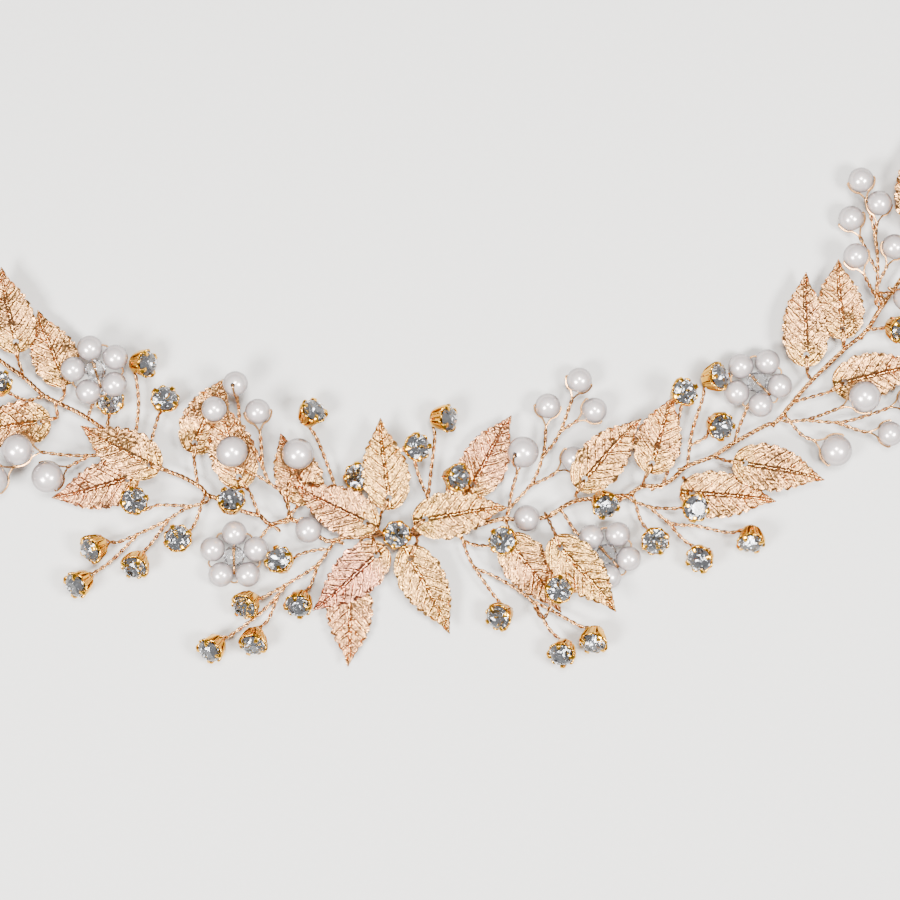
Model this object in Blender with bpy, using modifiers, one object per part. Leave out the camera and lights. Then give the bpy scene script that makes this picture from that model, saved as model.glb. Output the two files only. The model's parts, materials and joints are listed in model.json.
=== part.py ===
"""A wired bridal hair vine: gilt brass leaves, imitation pearls, pearl flowers and
rhinestones in claw cups on a twisted wire stem. It lies flat on its back at z = 0,
with its front up. The origin is the flat base of the centre claw cup.
Layout values are in millimetres and are turned into metres where a shape is made."""

from math import cos, pi, radians, sin

import bmesh
import bpy
from mathutils import Euler, Matrix, Vector

MM = 0.001

# Wire
STEM_RADIUS = 0.5          # three twisted strands
TWIG_RADIUS = 0.35         # one twisted pair
HOOK_RADIUS = 0.3          # the wire through a leaf
STEM_SIDES = 2             # bevel resolution of the stem
TWIG_SIDES = 1             # bevel resolution of twigs and hooks
END_LOOP_RADIUS = 2.0      # hair pin loop at each end, to the wire's centre line

# Leaves
LEAF_THICKNESS = 0.3
LEAF_WIDTH = 9.2
LEAF_BASE = 2.4            # from the hole back to the base of the leaf
LEAF_HOLE_RADIUS = 0.75
LEAF_STATIONS = (0.05, 0.18, 0.38, 0.6, 0.8)
HOOK_DROP = 0.8            # wire centre to leaf centre, below and above the leaf
HOOK_RETURN = 1.7          # how far the wire folds back over the base

# Beads and settings
SMALL_PEARL = 4.8
LARGE_PEARL = 6.0
STEM_PEARL = 5.1
THREAD_HOLE_RADIUS = 0.8
FLOWER_RING_RADIUS = 4.35
FLOWER_BEAD = 4.4
CUP_BASE_RADIUS = 1.5
CUP_WAIST_RADIUS = 2.2
CUP_RIM_RADIUS = 2.65
CUP_HEIGHT = 3.4
SETTING_HEIGHT = 4.4
STONE_RADIUS = 2.3
STONE_TABLE_RADIUS = 1.3
STEM_SETTING_GAP = 0.45
TURN_STEPS = 8
CENTRE_STEPS = 24

# Where the stem bends, and which way the wire runs there (degrees from +X)
LEFT_BENDS = ((-10.0, -0.6, 180), (-36.2, 7.6, 158), (-60.3, 23.0, 148))
RIGHT_BENDS = ((42.6, 7.4, 0), (52.3, 10.4, 28), (76.9, 27.0, 57))
STEM_HEIGHT = 2.6
BEND_GAP = 0.5             # between two stem lengths at a bend


def remove_everything():
    for item in list(bpy.data.objects):
        bpy.data.objects.remove(item, do_unlink=True)


def new_collection(name):
    collection = bpy.data.collections.new(name)
    bpy.context.scene.collection.children.link(collection)
    return collection


remove_everything()
PARTS = new_collection("hair_vine")
CONSTRUCTION = new_collection("construction")
WELDS = []                 # (body, its group of pieces), welded when all is placed
CUTS = []                  # (body, tool)


def make_material(name, colour, metallic, roughness):
    material = bpy.data.materials.new(name)
    material.use_nodes = True
    shader = material.node_tree.nodes["Principled BSDF"]
    shader.inputs["Base Color"].default_value = (*colour, 1.0)
    shader.inputs["Metallic"].default_value = metallic
    shader.inputs["Roughness"].default_value = roughness
    return material


MATERIALS = {
    "gilt_leaf": make_material("gilt_leaf", (0.72, 0.50, 0.30), 1.0, 0.35),
    "gilt_wire": make_material("gilt_wire", (0.78, 0.55, 0.35), 1.0, 0.3),
    "gilt_cup": make_material("gilt_cup", (0.80, 0.52, 0.16), 1.0, 0.25),
    "pearl": make_material("pearl", (0.86, 0.82, 0.76), 0.0, 0.2),
    "stone": make_material("stone", (0.85, 0.87, 0.90), 0.0, 0.05),
}


# ---------------------------------------------------------------- basic shapes

def scaled(point):
    return Vector(point) * MM


def mesh_object(name, mesh):
    item = bpy.data.objects.new(name, mesh)
    PARTS.objects.link(item)
    return item


def smooth(mesh, angle=45):
    mesh.shade_smooth()
    mesh.set_sharp_from_angle(angle=radians(angle))


def as_mesh(source, name):
    """Turn a curve, or an object with modifiers, into a plain closed mesh object."""
    depsgraph = bpy.context.evaluated_depsgraph_get()
    mesh = bpy.data.meshes.new_from_object(source.evaluated_get(depsgraph))
    shape = bmesh.new()
    shape.from_mesh(mesh)
    bmesh.ops.remove_doubles(shape, verts=shape.verts, dist=1e-6)
    bmesh.ops.recalc_face_normals(shape, faces=shape.faces)
    shape.to_mesh(mesh)
    shape.free()
    item = mesh_object(name, mesh)
    item.matrix_world = source.matrix_world
    bpy.data.objects.remove(source, do_unlink=True)
    return item


def tube(points, radius, sides):
    """A wire along a list of points."""
    curve = bpy.data.curves.new("wire", "CURVE")
    curve.dimensions = "3D"
    curve.bevel_depth = radius * MM
    curve.bevel_resolution = sides
    curve.use_fill_caps = True
    spline = curve.splines.new("POLY")
    spline.points.add(len(points) - 1)
    for control, point in zip(spline.points, points):
        control.co = (*scaled(point), 1.0)
    source = bpy.data.objects.new("wire_path", curve)
    CONSTRUCTION.objects.link(source)
    wire = as_mesh(source, "wire")
    smooth(wire.data, 60)
    return wire


def ball(centre, diameter):
    bpy.ops.mesh.primitive_ico_sphere_add(
        subdivisions=2, radius=diameter / 2 * MM, location=scaled(centre))
    item = bpy.context.object
    for collection in list(item.users_collection):
        collection.objects.unlink(item)
    PARTS.objects.link(item)
    item.data.shade_smooth()
    return item


def turned(name, profile, steps):
    """A profile of (radius, height) points, from the top down, turned about Z."""
    mesh = bpy.data.meshes.new(name)
    points = [(radius * MM, 0.0, height * MM) for radius, height in profile]
    edges = [(i, i + 1) for i in range(len(points) - 1)]
    mesh.from_pydata(points, edges, [])
    source = bpy.data.objects.new(name + "_profile", mesh)
    CONSTRUCTION.objects.link(source)
    screw = source.modifiers.new("Turn", "SCREW")
    screw.steps = steps
    screw.render_steps = steps
    screw.use_merge_vertices = True
    screw.merge_threshold = 1e-6
    item = as_mesh(source, name)
    smooth(item.data, 35)
    return item


def facing(heading, tilt):
    """Turn +Z by tilt degrees towards heading degrees from +X."""
    return Euler((0.0, radians(tilt), radians(heading))).to_matrix().to_4x4()


def setting(centre, heading, tilt):
    """A rhinestone in its claw cup, centred on a point; its face leans to heading."""
    profile = (
        (0.0, SETTING_HEIGHT / 2),
        (STONE_TABLE_RADIUS, SETTING_HEIGHT / 2),
        (STONE_RADIUS, CUP_HEIGHT + 0.4 - SETTING_HEIGHT / 2),
        (CUP_RIM_RADIUS, CUP_HEIGHT - SETTING_HEIGHT / 2),
        (CUP_WAIST_RADIUS, 1.2 - SETTING_HEIGHT / 2),
        (CUP_BASE_RADIUS, -SETTING_HEIGHT / 2),
        (0.0, -SETTING_HEIGHT / 2),
    )
    item = turned("setting", profile, TURN_STEPS)
    item.matrix_world = Matrix.Translation(scaled(centre)) @ facing(heading, tilt)
    return item


def hide_in(collection, item):
    for owner in list(item.users_collection):
        owner.objects.unlink(item)
    collection.objects.link(item)
    item.hide_render = True
    item.display_type = "WIRE"


def finish(item, name, material):
    item.name = name
    item.data.name = name
    item.data.materials.clear()
    item.data.materials.append(MATERIALS[material])
    return item


def union(name, pieces, material):
    """Weld overlapping pieces into one closed body."""
    body = pieces[0]
    if len(pieces) > 1:
        group = bpy.data.collections.new(name + "_pieces")
        CONSTRUCTION.children.link(group)
        for piece in pieces[1:]:
            hide_in(group, piece)
        WELDS.append((body, group))
    return finish(body, name, material)


def cut(body, tool):
    """Take a tool away from a body."""
    hide_in(CONSTRUCTION, tool)
    CUTS.append((body, tool))


def weld_and_cut():
    for body, group in WELDS:
        weld = body.modifiers.new("Weld pieces", "BOOLEAN")
        weld.operation = "UNION"
        weld.solver = "EXACT"
        weld.operand_type = "COLLECTION"
        weld.collection = group
    for body, tool in CUTS:
        cutter = body.modifiers.new("Cut", "BOOLEAN")
        cutter.operation = "DIFFERENCE"
        cutter.solver = "EXACT"
        cutter.object = tool


# ---------------------------------------------------------------- leaves

# name: hole centre (x, y, z), heading in degrees, hole to tip, wire from the stem
LEAVES = {
    "leaf_centre_top": ((-1.5, 7.0, 4.95), 96, 15.2, ((-4.0, 0.0, 1.9), (-2.9, 4.2, 3.2))),
    "leaf_centre_left_upper": ((-5.8, 2.4, 4.9), 152, 15.4, ((-4.6, -0.1, 2.1), (-4.8, 1.7, 3.2))),
    "leaf_centre_left_lower": ((-3.8, -3.8, 4.9), 221, 16.0, ((-4.6, -0.1, 2.0), (-4.0, -3.2, 3.2))),
    "leaf_bottom_left": ((-9.1, -9.9, 2.2), 269, 15.2, ((-6.6, -0.5, 2.5), (-8.4, -5.8, 1.2))),
    "leaf_bottom_right": ((2.6, -4.4, 4.0), 297, 16.2, ((3.8, 0.1, 1.6), (3.0, -3.4, 2.4))),
    "leaf_centre_right": ((5.4, 3.0, 4.8), 8, 15.8, ((4.4, 0.2, 1.9), (4.4, 2.2, 3.2))),
    "leaf_right_upper": ((14.5, 9.5, 2.8), 61, 15.0, ((13.4, 1.2, 2.6), (14.0, 7.0, 1.4))),
    "leaf_left_fan_right": ((-17.2, 7.6, 3.0), 113, 12.6, ((-21.4, 2.5, 2.6), (-19.4, 4.8, 1.6))),
    "leaf_left_fan_middle": ((-30.0, 11.0, 4.3), 103, 15.5, ((-26.2, 3.6, 2.8), (-28.4, 8.8, 2.8))),
    "leaf_left_fan_left": ((-38.5, 17.5, 2.8), 64, 14.0, ((-38.0, 9.6, 2.6), (-38.6, 15.4, 1.6))),
    "leaf_far_left_top": ((-72.2, 36.6, 5.0), 101, 14.4, ((-71.2, 30.2, 2.8), (-72.0, 34.6, 3.4))),
    "leaf_far_left_middle": ((-63.6, 30.2, 3.0), 111, 13.4, ((-64.4, 25.0, 2.6), (-63.4, 28.0, 1.8))),
    "leaf_far_left_lower": ((-68.0, 21.4, 3.0), 186, 14.4, ((-65.2, 25.4, 2.6), (-66.4, 21.8, 1.8))),
    "leaf_left_upper": ((-46.8, 13.4, 5.0), 151, 15.0, ((-44.8, 12.6, 2.8), (-46.0, 13.2, 3.2))),
    "leaf_left_lower": ((-51.4, 10.6, 2.8), 194, 14.8, ((-45.8, 13.4, 2.6), (-49.4, 11.4, 1.4))),
    "leaf_right_fan_left": ((35.6, 10.6, 5.9), 47, 15.6, ((34.2, 6.6, 2.8), (35.0, 9.6, 4.4))),
    "leaf_right_fan_lower": ((31.0, -2.4, 5.7), 311, 16.0, ((28.2, 4.2, 2.8), (30.0, 0.2, 4.6))),
    "leaf_right_fan_bottom": ((22.0, -2.1, 3.6), 306, 15.7, ((20.4, 3.4, 2.6), (21.4, 0.6, 2.0))),
    "leaf_right_fan_right": ((48.5, 13.6, 4.2), 72, 13.4, ((46.9, 9.2, 2.8), (48.0, 12.6, 3.0))),
    "leaf_right_lower": ((56.2, 8.0, 3.0), 354, 16.0, ((54.0, 11.8, 2.6), (55.4, 9.4, 1.6))),
    "leaf_right_mid": ((66.0, 13.6, 5.2), 348, 15.4, ((60.2, 14.9, 2.8), (64.4, 13.8, 3.6))),
    "leaf_far_right_upper": ((77.7, 34.2, 4.4), 90, 15.6, ((78.8, 29.6, 2.8), (77.8, 32.6, 3.0))),
    "leaf_far_right_inner": ((84.8, 39.2, 3.0), 93, 13.2, ((85.4, 35.4, 2.6), (84.9, 38.0, 1.8))),
    "leaf_far_right_lower": ((85.2, 29.0, 3.0), 12, 15.2, ((75.4, 25.2, 2.6), (83.0, 27.6, 1.8))),
    "leaf_top_right": ((99.4, 59.6, 4.4), 94, 15.0, ((101.6, 57.6, 2.8), (99.8, 58.6, 3.0))),
    "leaf_left_end": ((-88.0, 51.6, 4.2), 96, 15.4, ((-88.8, 45.9, 2.8), (-88.2, 50.0, 3.0))),
    "leaf_left_end_lower": ((-91.4, 42.4, 4.2), 206, 15.4, ((-86.6, 43.2, 2.8), (-90.0, 42.8, 3.0))),
    "leaf_right_end": ((108.2, 62.6, 4.2), 352, 15.4, ((103.0, 60.6, 2.8), (106.6, 62.4, 3.0))),
}


def leaf_frame(name):
    hole, heading, _, _ = LEAVES[name]
    return Matrix.Translation(scaled(hole)) @ facing(heading, 0)


def leaf_outline(reach):
    """Half width at each station, widest a little past a third of the length."""
    length = LEAF_BASE + reach
    side = []
    for t in LEAF_STATIONS:
        half_width = LEAF_WIDTH / 2 * sin(pi * t ** 0.72)
        side.append((length * t - LEAF_BASE, half_width))
    lower = [(x, -y) for x, y in side]
    return [(-LEAF_BASE, 0.0)] + lower + [(reach, 0.0)] + side[::-1]


def circle(radius, corners):
    angles = [2 * pi * i / corners for i in range(corners)]
    return [(radius * cos(a), radius * sin(a)) for a in angles]


def build_leaf(name):
    reach = LEAVES[name][2]
    curve = bpy.data.curves.new(name, "CURVE")
    curve.dimensions = "2D"
    curve.fill_mode = "BOTH"
    curve.extrude = LEAF_THICKNESS / 2 * MM
    for outline in (leaf_outline(reach), circle(LEAF_HOLE_RADIUS, 6)):
        spline = curve.splines.new("POLY")
        spline.use_cyclic_u = True
        spline.points.add(len(outline) - 1)
        for control, (x, y) in zip(spline.points, outline):
            control.co = (x * MM, y * MM, 0.0, 1.0)
    source = bpy.data.objects.new(name + "_outline", curve)
    CONSTRUCTION.objects.link(source)
    source.matrix_world = leaf_frame(name)
    bpy.context.view_layer.update()
    return finish(as_mesh(source, name), name, "gilt_leaf")


def leaf_hook(name):
    """The wire from the stem, up through the leaf's hole and back over its base."""
    route = list(LEAVES[name][3])
    for local in ((0, 0, -HOOK_DROP), (0, 0, HOOK_DROP), (-HOOK_RETURN, 0, HOOK_DROP)):
        route.append(tuple(leaf_frame(name) @ scaled(local) / MM))
    return tube(route, HOOK_RADIUS, TWIG_SIDES)


# ---------------------------------------------------------------- twigs and sprays

def twig(*route):
    return [tube(route, TWIG_RADIUS, TWIG_SIDES)]


def pearl(diameter, *route):
    """A pearl at the end of its twig."""
    return twig(*route) + [ball(route[-1], diameter)]


def stone(heading, tilt, *route):
    """A setting at the end of its twig, which enters through the cup's base."""
    centre = Vector(route[-1])
    normal = facing(heading, tilt) @ Vector((0.0, 0.0, 1.0))
    base = centre - normal * (SETTING_HEIGHT / 2 - 0.7)
    return twig(*route[:-1], tuple(base)) + [setting(route[-1], heading, tilt)]


def build_spray(name, material, *branches):
    pieces = []
    for branch in branches:
        pieces.extend(branch)
    return union(name, pieces, material)


def build_flower(name, centre, first_angle, stalk):
    """Five pearls round a cut bead, on a stalk."""
    pieces = [ball(centre, FLOWER_BEAD)]
    for i in range(5):
        angle = radians(first_angle + 72 * i)
        offset = Vector((cos(angle), sin(angle), 0.0)) * FLOWER_RING_RADIUS
        pieces.append(ball(tuple(Vector(centre) + offset), SMALL_PEARL))
    pieces.extend(twig(*stalk, centre))
    return union(name, pieces, "pearl")


# ---------------------------------------------------------------- the stem

def bend_end(bend, side):
    """The end of a stem length at a bend: side is -1 before it and 1 after it."""
    x, y, heading = bend
    step = side * BEND_GAP / 2
    return (x + step * cos(radians(heading)), y + step * sin(radians(heading)), STEM_HEIGHT)


def level(*points):
    return [(x, y, STEM_HEIGHT) for x, y in points]


def build_stem(name, route, leaves, *branches):
    pieces = [tube(route, STEM_RADIUS, STEM_SIDES)]
    pieces.extend(leaf_hook(leaf) for leaf in leaves)
    for branch in branches:
        pieces.extend(branch)
    return union(name, pieces, "gilt_wire")


def end_loop(centre):
    """A ring of wire for a hair pin, at the end of the stem."""
    bpy.ops.mesh.primitive_torus_add(
        major_radius=END_LOOP_RADIUS * MM, minor_radius=STEM_RADIUS * MM,
        major_segments=14, minor_segments=6, location=scaled(centre))
    ring = bpy.context.object
    for collection in list(ring.users_collection):
        collection.objects.unlink(ring)
    PARTS.objects.link(ring)
    return [ring]


def build_stems():
    build_stem(
        "stem_centre",
        [bend_end(LEFT_BENDS[0], -1), (-7.0, -0.5, 2.5), (-3.4, 0.0, 1.25), (3.4, 0.0, 1.25),
         (7.0, 0.6, 2.4)] + level((12.0, 0.9), (20.0, 3.0), (21.0, 2.9), (28.4, 3.3),
                                  (31.5, 5.2), (34.0, 6.4), (38.0, 6.9))
        + [bend_end(RIGHT_BENDS[0], -1)],
        ("leaf_centre_top", "leaf_centre_left_upper", "leaf_centre_left_lower",
         "leaf_bottom_left", "leaf_bottom_right", "leaf_centre_right", "leaf_right_upper",
         "leaf_right_fan_left", "leaf_right_fan_lower", "leaf_right_fan_bottom"),
        stone(100, 5, (-7.0, -0.4, 2.6), (-7.8, 5.0, 1.8), (-8.0, 8.0, 1.2), (-7.4, 11.0, 2.35)),
        stone(50, 50, (-9.0, -0.5, 2.6), (-10.6, 5.6, 2.2), (-13.0, 12.6, 2.4), (-15.2, 18.2, 3.2),
              (-16.2, 23.0, 4.2)))
    build_stem(
        "stem_left_inner",
        [bend_end(LEFT_BENDS[0], 1)] + level((-12.5, -1.2), (-14.0, -0.9), (-19.8, 2.7),
                                             (-24.1, 2.0), (-26.2, 3.6), (-29.3, 4.4), (-34.2, 6.8))
        + [bend_end(LEFT_BENDS[1], -1)],
        ("leaf_left_fan_right", "leaf_left_fan_middle"))
    build_stem(
        "stem_left_middle",
        [bend_end(LEFT_BENDS[1], 1)] + level((-37.4, 9.0), (-40.9, 11.0), (-44.8, 12.6),
                                             (-50.7, 16.3), (-56.8, 20.7))
        + [bend_end(LEFT_BENDS[2], -1)],
        ("leaf_left_fan_left", "leaf_left_upper", "leaf_left_lower"))
    build_stem(
        "stem_left_outer",
        [bend_end(LEFT_BENDS[2], 1)] + level((-64.4, 25.0), (-67.4, 26.6), (-71.2, 30.0),
                                             (-75.4, 33.0), (-82.0, 38.6), (-89.0, 46.2),
                                             (-95.0, 55.0), (-99.6, 64.6)),
        ("leaf_far_left_top", "leaf_far_left_middle", "leaf_far_left_lower",
         "leaf_left_end", "leaf_left_end_lower"),
        stone(60, 40, (-67.0, 26.4, 2.6), (-70.6, 25.6, 3.4), (-73.6, 27.0, 5.6), (-75.2, 28.5, 7.8)),
        end_loop((-100.6, 66.4, STEM_HEIGHT)))
    build_stem(
        "stem_right_inner",
        [bend_end(RIGHT_BENDS[0], 1)] + level((43.9, 7.4), (45.4, 8.4), (46.9, 9.2), (50.0, 9.3))
        + [bend_end(RIGHT_BENDS[1], -1)],
        ("leaf_right_fan_right",),
        stone(30, 25, (50.6, 9.4, 2.7), (52.8, 16.0, 2.6), (53.6, 21.5, 2.8), (55.0, 25.6, 4.6),
              (54.0, 26.9, 7.4)))
    build_stem(
        "stem_right_middle",
        [bend_end(RIGHT_BENDS[1], 1)] + level((55.1, 12.9), (60.2, 14.9), (64.4, 17.6),
                                              (70.3, 20.8), (72.4, 21.6))
        + [bend_end(RIGHT_BENDS[2], -1)],
        ("leaf_right_lower", "leaf_right_mid", "leaf_far_right_lower"))
    build_stem(
        "stem_right_outer",
        [bend_end(RIGHT_BENDS[2], 1)] + level((80.4, 30.7), (85.4, 35.4), (89.3, 38.7),
                                              (92.2, 43.2), (96.0, 48.6), (101.0, 56.4),
                                              (106.0, 66.0), (109.8, 76.0), (112.0, 84.0)),
        ("leaf_far_right_upper", "leaf_far_right_inner", "leaf_top_right", "leaf_right_end"),
        stone(-30, 35, (90.0, 39.0, 2.7), (93.0, 39.2, 2.6), (95.4, 39.2, 3.5)),
        end_loop((112.4, 86.0, STEM_HEIGHT)))


# ---------------------------------------------------------------- centre and threaded pieces

def build_centre():
    cup = turned("centre_cup", (
        (0.0, 2.35), (1.0, 2.35), (2.35, 3.9), (2.65, 3.9), (2.45, 1.2), (1.6, 0.0), (0.0, 0.0),
    ), CENTRE_STEPS)
    cut(cup, tube(((-4.0, 0.0, 1.3), (4.0, 0.0, 1.3)), THREAD_HOLE_RADIUS, STEM_SIDES))
    finish(cup, "centre_cup", "gilt_cup")
    gem = turned("centre_stone", (
        (0.0, 5.1), (1.4, 5.1), (2.3, 4.45), (2.3, 4.25), (0.0, 2.7),
    ), CENTRE_STEPS)
    finish(gem, "centre_stone", "stone")


def build_stem_pearl(name, start, end):
    """A pearl threaded on the stem, bored along it."""
    first, last = Vector(start), Vector(end)
    middle = (first + last) / 2
    bead = ball(tuple(middle), STEM_PEARL)
    run = (last - first).normalized() * STEM_PEARL
    cut(bead, tube((tuple(middle - run), tuple(middle + run)), THREAD_HOLE_RADIUS, STEM_SIDES))
    finish(bead, name, "pearl")


def build_stem_setting(name, x, y, heading, tilt):
    """A setting that leans to heading, its lowest edge just clear of the top of the stem."""
    lowest = STEM_HEIGHT + STEM_RADIUS + STEM_SETTING_GAP
    drop = SETTING_HEIGHT / 2 * cos(radians(tilt)) + CUP_BASE_RADIUS * sin(radians(tilt))
    item = setting((x, y, lowest + drop), heading, tilt)
    finish(item, name, "gilt_cup")


def build_threaded():
    build_stem_pearl("left_stem_pearl", (-14.0, -0.9, STEM_HEIGHT), (-19.8, 2.7, STEM_HEIGHT))
    build_stem_pearl("right_stem_pearl", (21.0, 2.9, STEM_HEIGHT), (28.4, 3.3, STEM_HEIGHT))
    build_stem_setting("left_stem_setting", -31.3, 6.3, 80, 35)
    build_stem_setting("right_stem_setting", 39.3, 6.0, 300, 35)


# ---------------------------------------------------------------- the sprays

def build_left_sprays():
    build_spray(
        "left_stone_spray_inner", "gilt_wire",
        stone(230, 40, (-12.6, -2.3, 2.6), (-15.4, -5.9, 2.6), (-20.9, -9.4, 2.6),
              (-25.6, -12.0, 2.8), (-28.6, -13.2, 3.6)),
        stone(230, 45, (-20.9, -9.4, 2.6), (-25.3, -14.3, 2.6), (-31.4, -19.0, 2.8),
              (-35.1, -21.5, 3.6)),
        stone(260, 45, (-22.6, -11.4, 2.6), (-24.4, -16.0, 2.6), (-27.2, -20.2, 3.6)),
        stone(250, 35, (-14.9, -5.3, 2.6), (-16.4, -9.6, 2.8), (-18.6, -13.0, 3.6)),
        stone(130, 30, (-12.9, -2.7, 2.6), (-15.2, -2.9, 2.6), (-18.6, -3.8, 3.0),
              (-22.2, -5.0, 3.4)))
    build_spray(
        "left_stone_spray_outer", "gilt_wire",
        stone(210, 50, (-36.4, 6.2, 2.6), (-40.5, 4.8, 2.6), (-44.8, 2.2, 2.6), (-52.4, -1.2, 2.8),
              (-57.6, -2.5, 3.6)),
        stone(215, 45, (-49.2, 0.2, 2.7), (-54.3, -4.9, 2.6), (-60.4, -9.2, 3.6)),
        stone(250, 40, (-43.4, 3.0, 2.6), (-46.6, -1.4, 2.6), (-49.6, -5.6, 3.6)),
        stone(90, 15, (-37.2, 5.9, 2.6), (-38.6, 1.9, 2.6), (-41.6, -0.9, 3.4)),
        stone(40, 20, (-39.0, 5.4, 2.7), (-45.4, 5.6, 3.0), (-48.0, 4.6, 3.4), (-49.8, 6.3, 6.0)))
    build_spray(
        "left_pearl_spray", "pearl",
        pearl(LARGE_PEARL, (-20.4, 4.2, 3.4), (-21.9, 8.1, 5.4), (-25.6, 10.8, 6.0),
              (-29.0, 12.6, 6.6), (-31.0, 15.8, 8.0)),
        pearl(SMALL_PEARL, (-24.2, 10.0, 5.9), (-26.6, 15.7, 6.4), (-30.0, 20.6, 6.8),
              (-34.4, 23.8, 7.4)),
        pearl(SMALL_PEARL, (-29.6, 20.0, 6.8), (-29.8, 24.0, 6.8), (-30.4, 28.6, 7.4)),
        pearl(SMALL_PEARL, (-25.4, 12.8, 6.2), (-25.6, 17.4, 6.6), (-26.2, 23.4, 7.2)),
        pearl(LARGE_PEARL, (-20.6, 4.8, 3.6), (-20.6, 9.0, 5.6), (-18.6, 15.4, 7.0)))
    build_spray(
        "left_top_stones", "gilt_wire",
        stone(60, 25, (-47.4, 15.4, 2.8), (-45.8, 21.4, 3.0), (-44.2, 25.5, 3.6)),
        stone(0, 60, (-50.0, 17.0, 2.8), (-49.2, 24.6, 3.0), (-49.6, 29.6, 3.4), (-48.2, 32.5, 4.2)),
        twig((-50.2, 17.3, 2.9), (-47.2, 16.2, 2.8)))
    build_spray(
        "left_low_stone", "gilt_wire",
        stone(70, 5, (-55.2, 20.6, 2.8), (-54.9, 23.0, 1.6), (-54.6, 25.4, 2.4)))
    build_spray(
        "far_left_pearl_spray", "pearl",
        pearl(LARGE_PEARL, (-51.2, 15.3, 3.8), (-57.2, 15.1, 3.9), (-62.4, 15.1, 4.0),
              (-67.3, 15.7, 5.6), (-71.7, 16.2, 6.6)),
        pearl(LARGE_PEARL, (-58.2, 15.1, 3.9), (-61.8, 13.2, 4.4), (-66.0, 11.0, 6.6)),
        pearl(LARGE_PEARL, (-68.8, 15.9, 5.6), (-72.0, 13.2, 5.8), (-76.6, 10.6, 6.0)))
    build_flower("far_left_flower", (-56.8, 31.2, 6.4), 106,
                 ((-58.6, 22.8, 3.6), (-57.2, 26.0, 4.6)))
    build_flower("left_flower", (-31.0, -4.1, 2.6), 90,
                 ((-24.6, 1.2, 2.6), (-26.0, -0.6, 2.6)))


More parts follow.
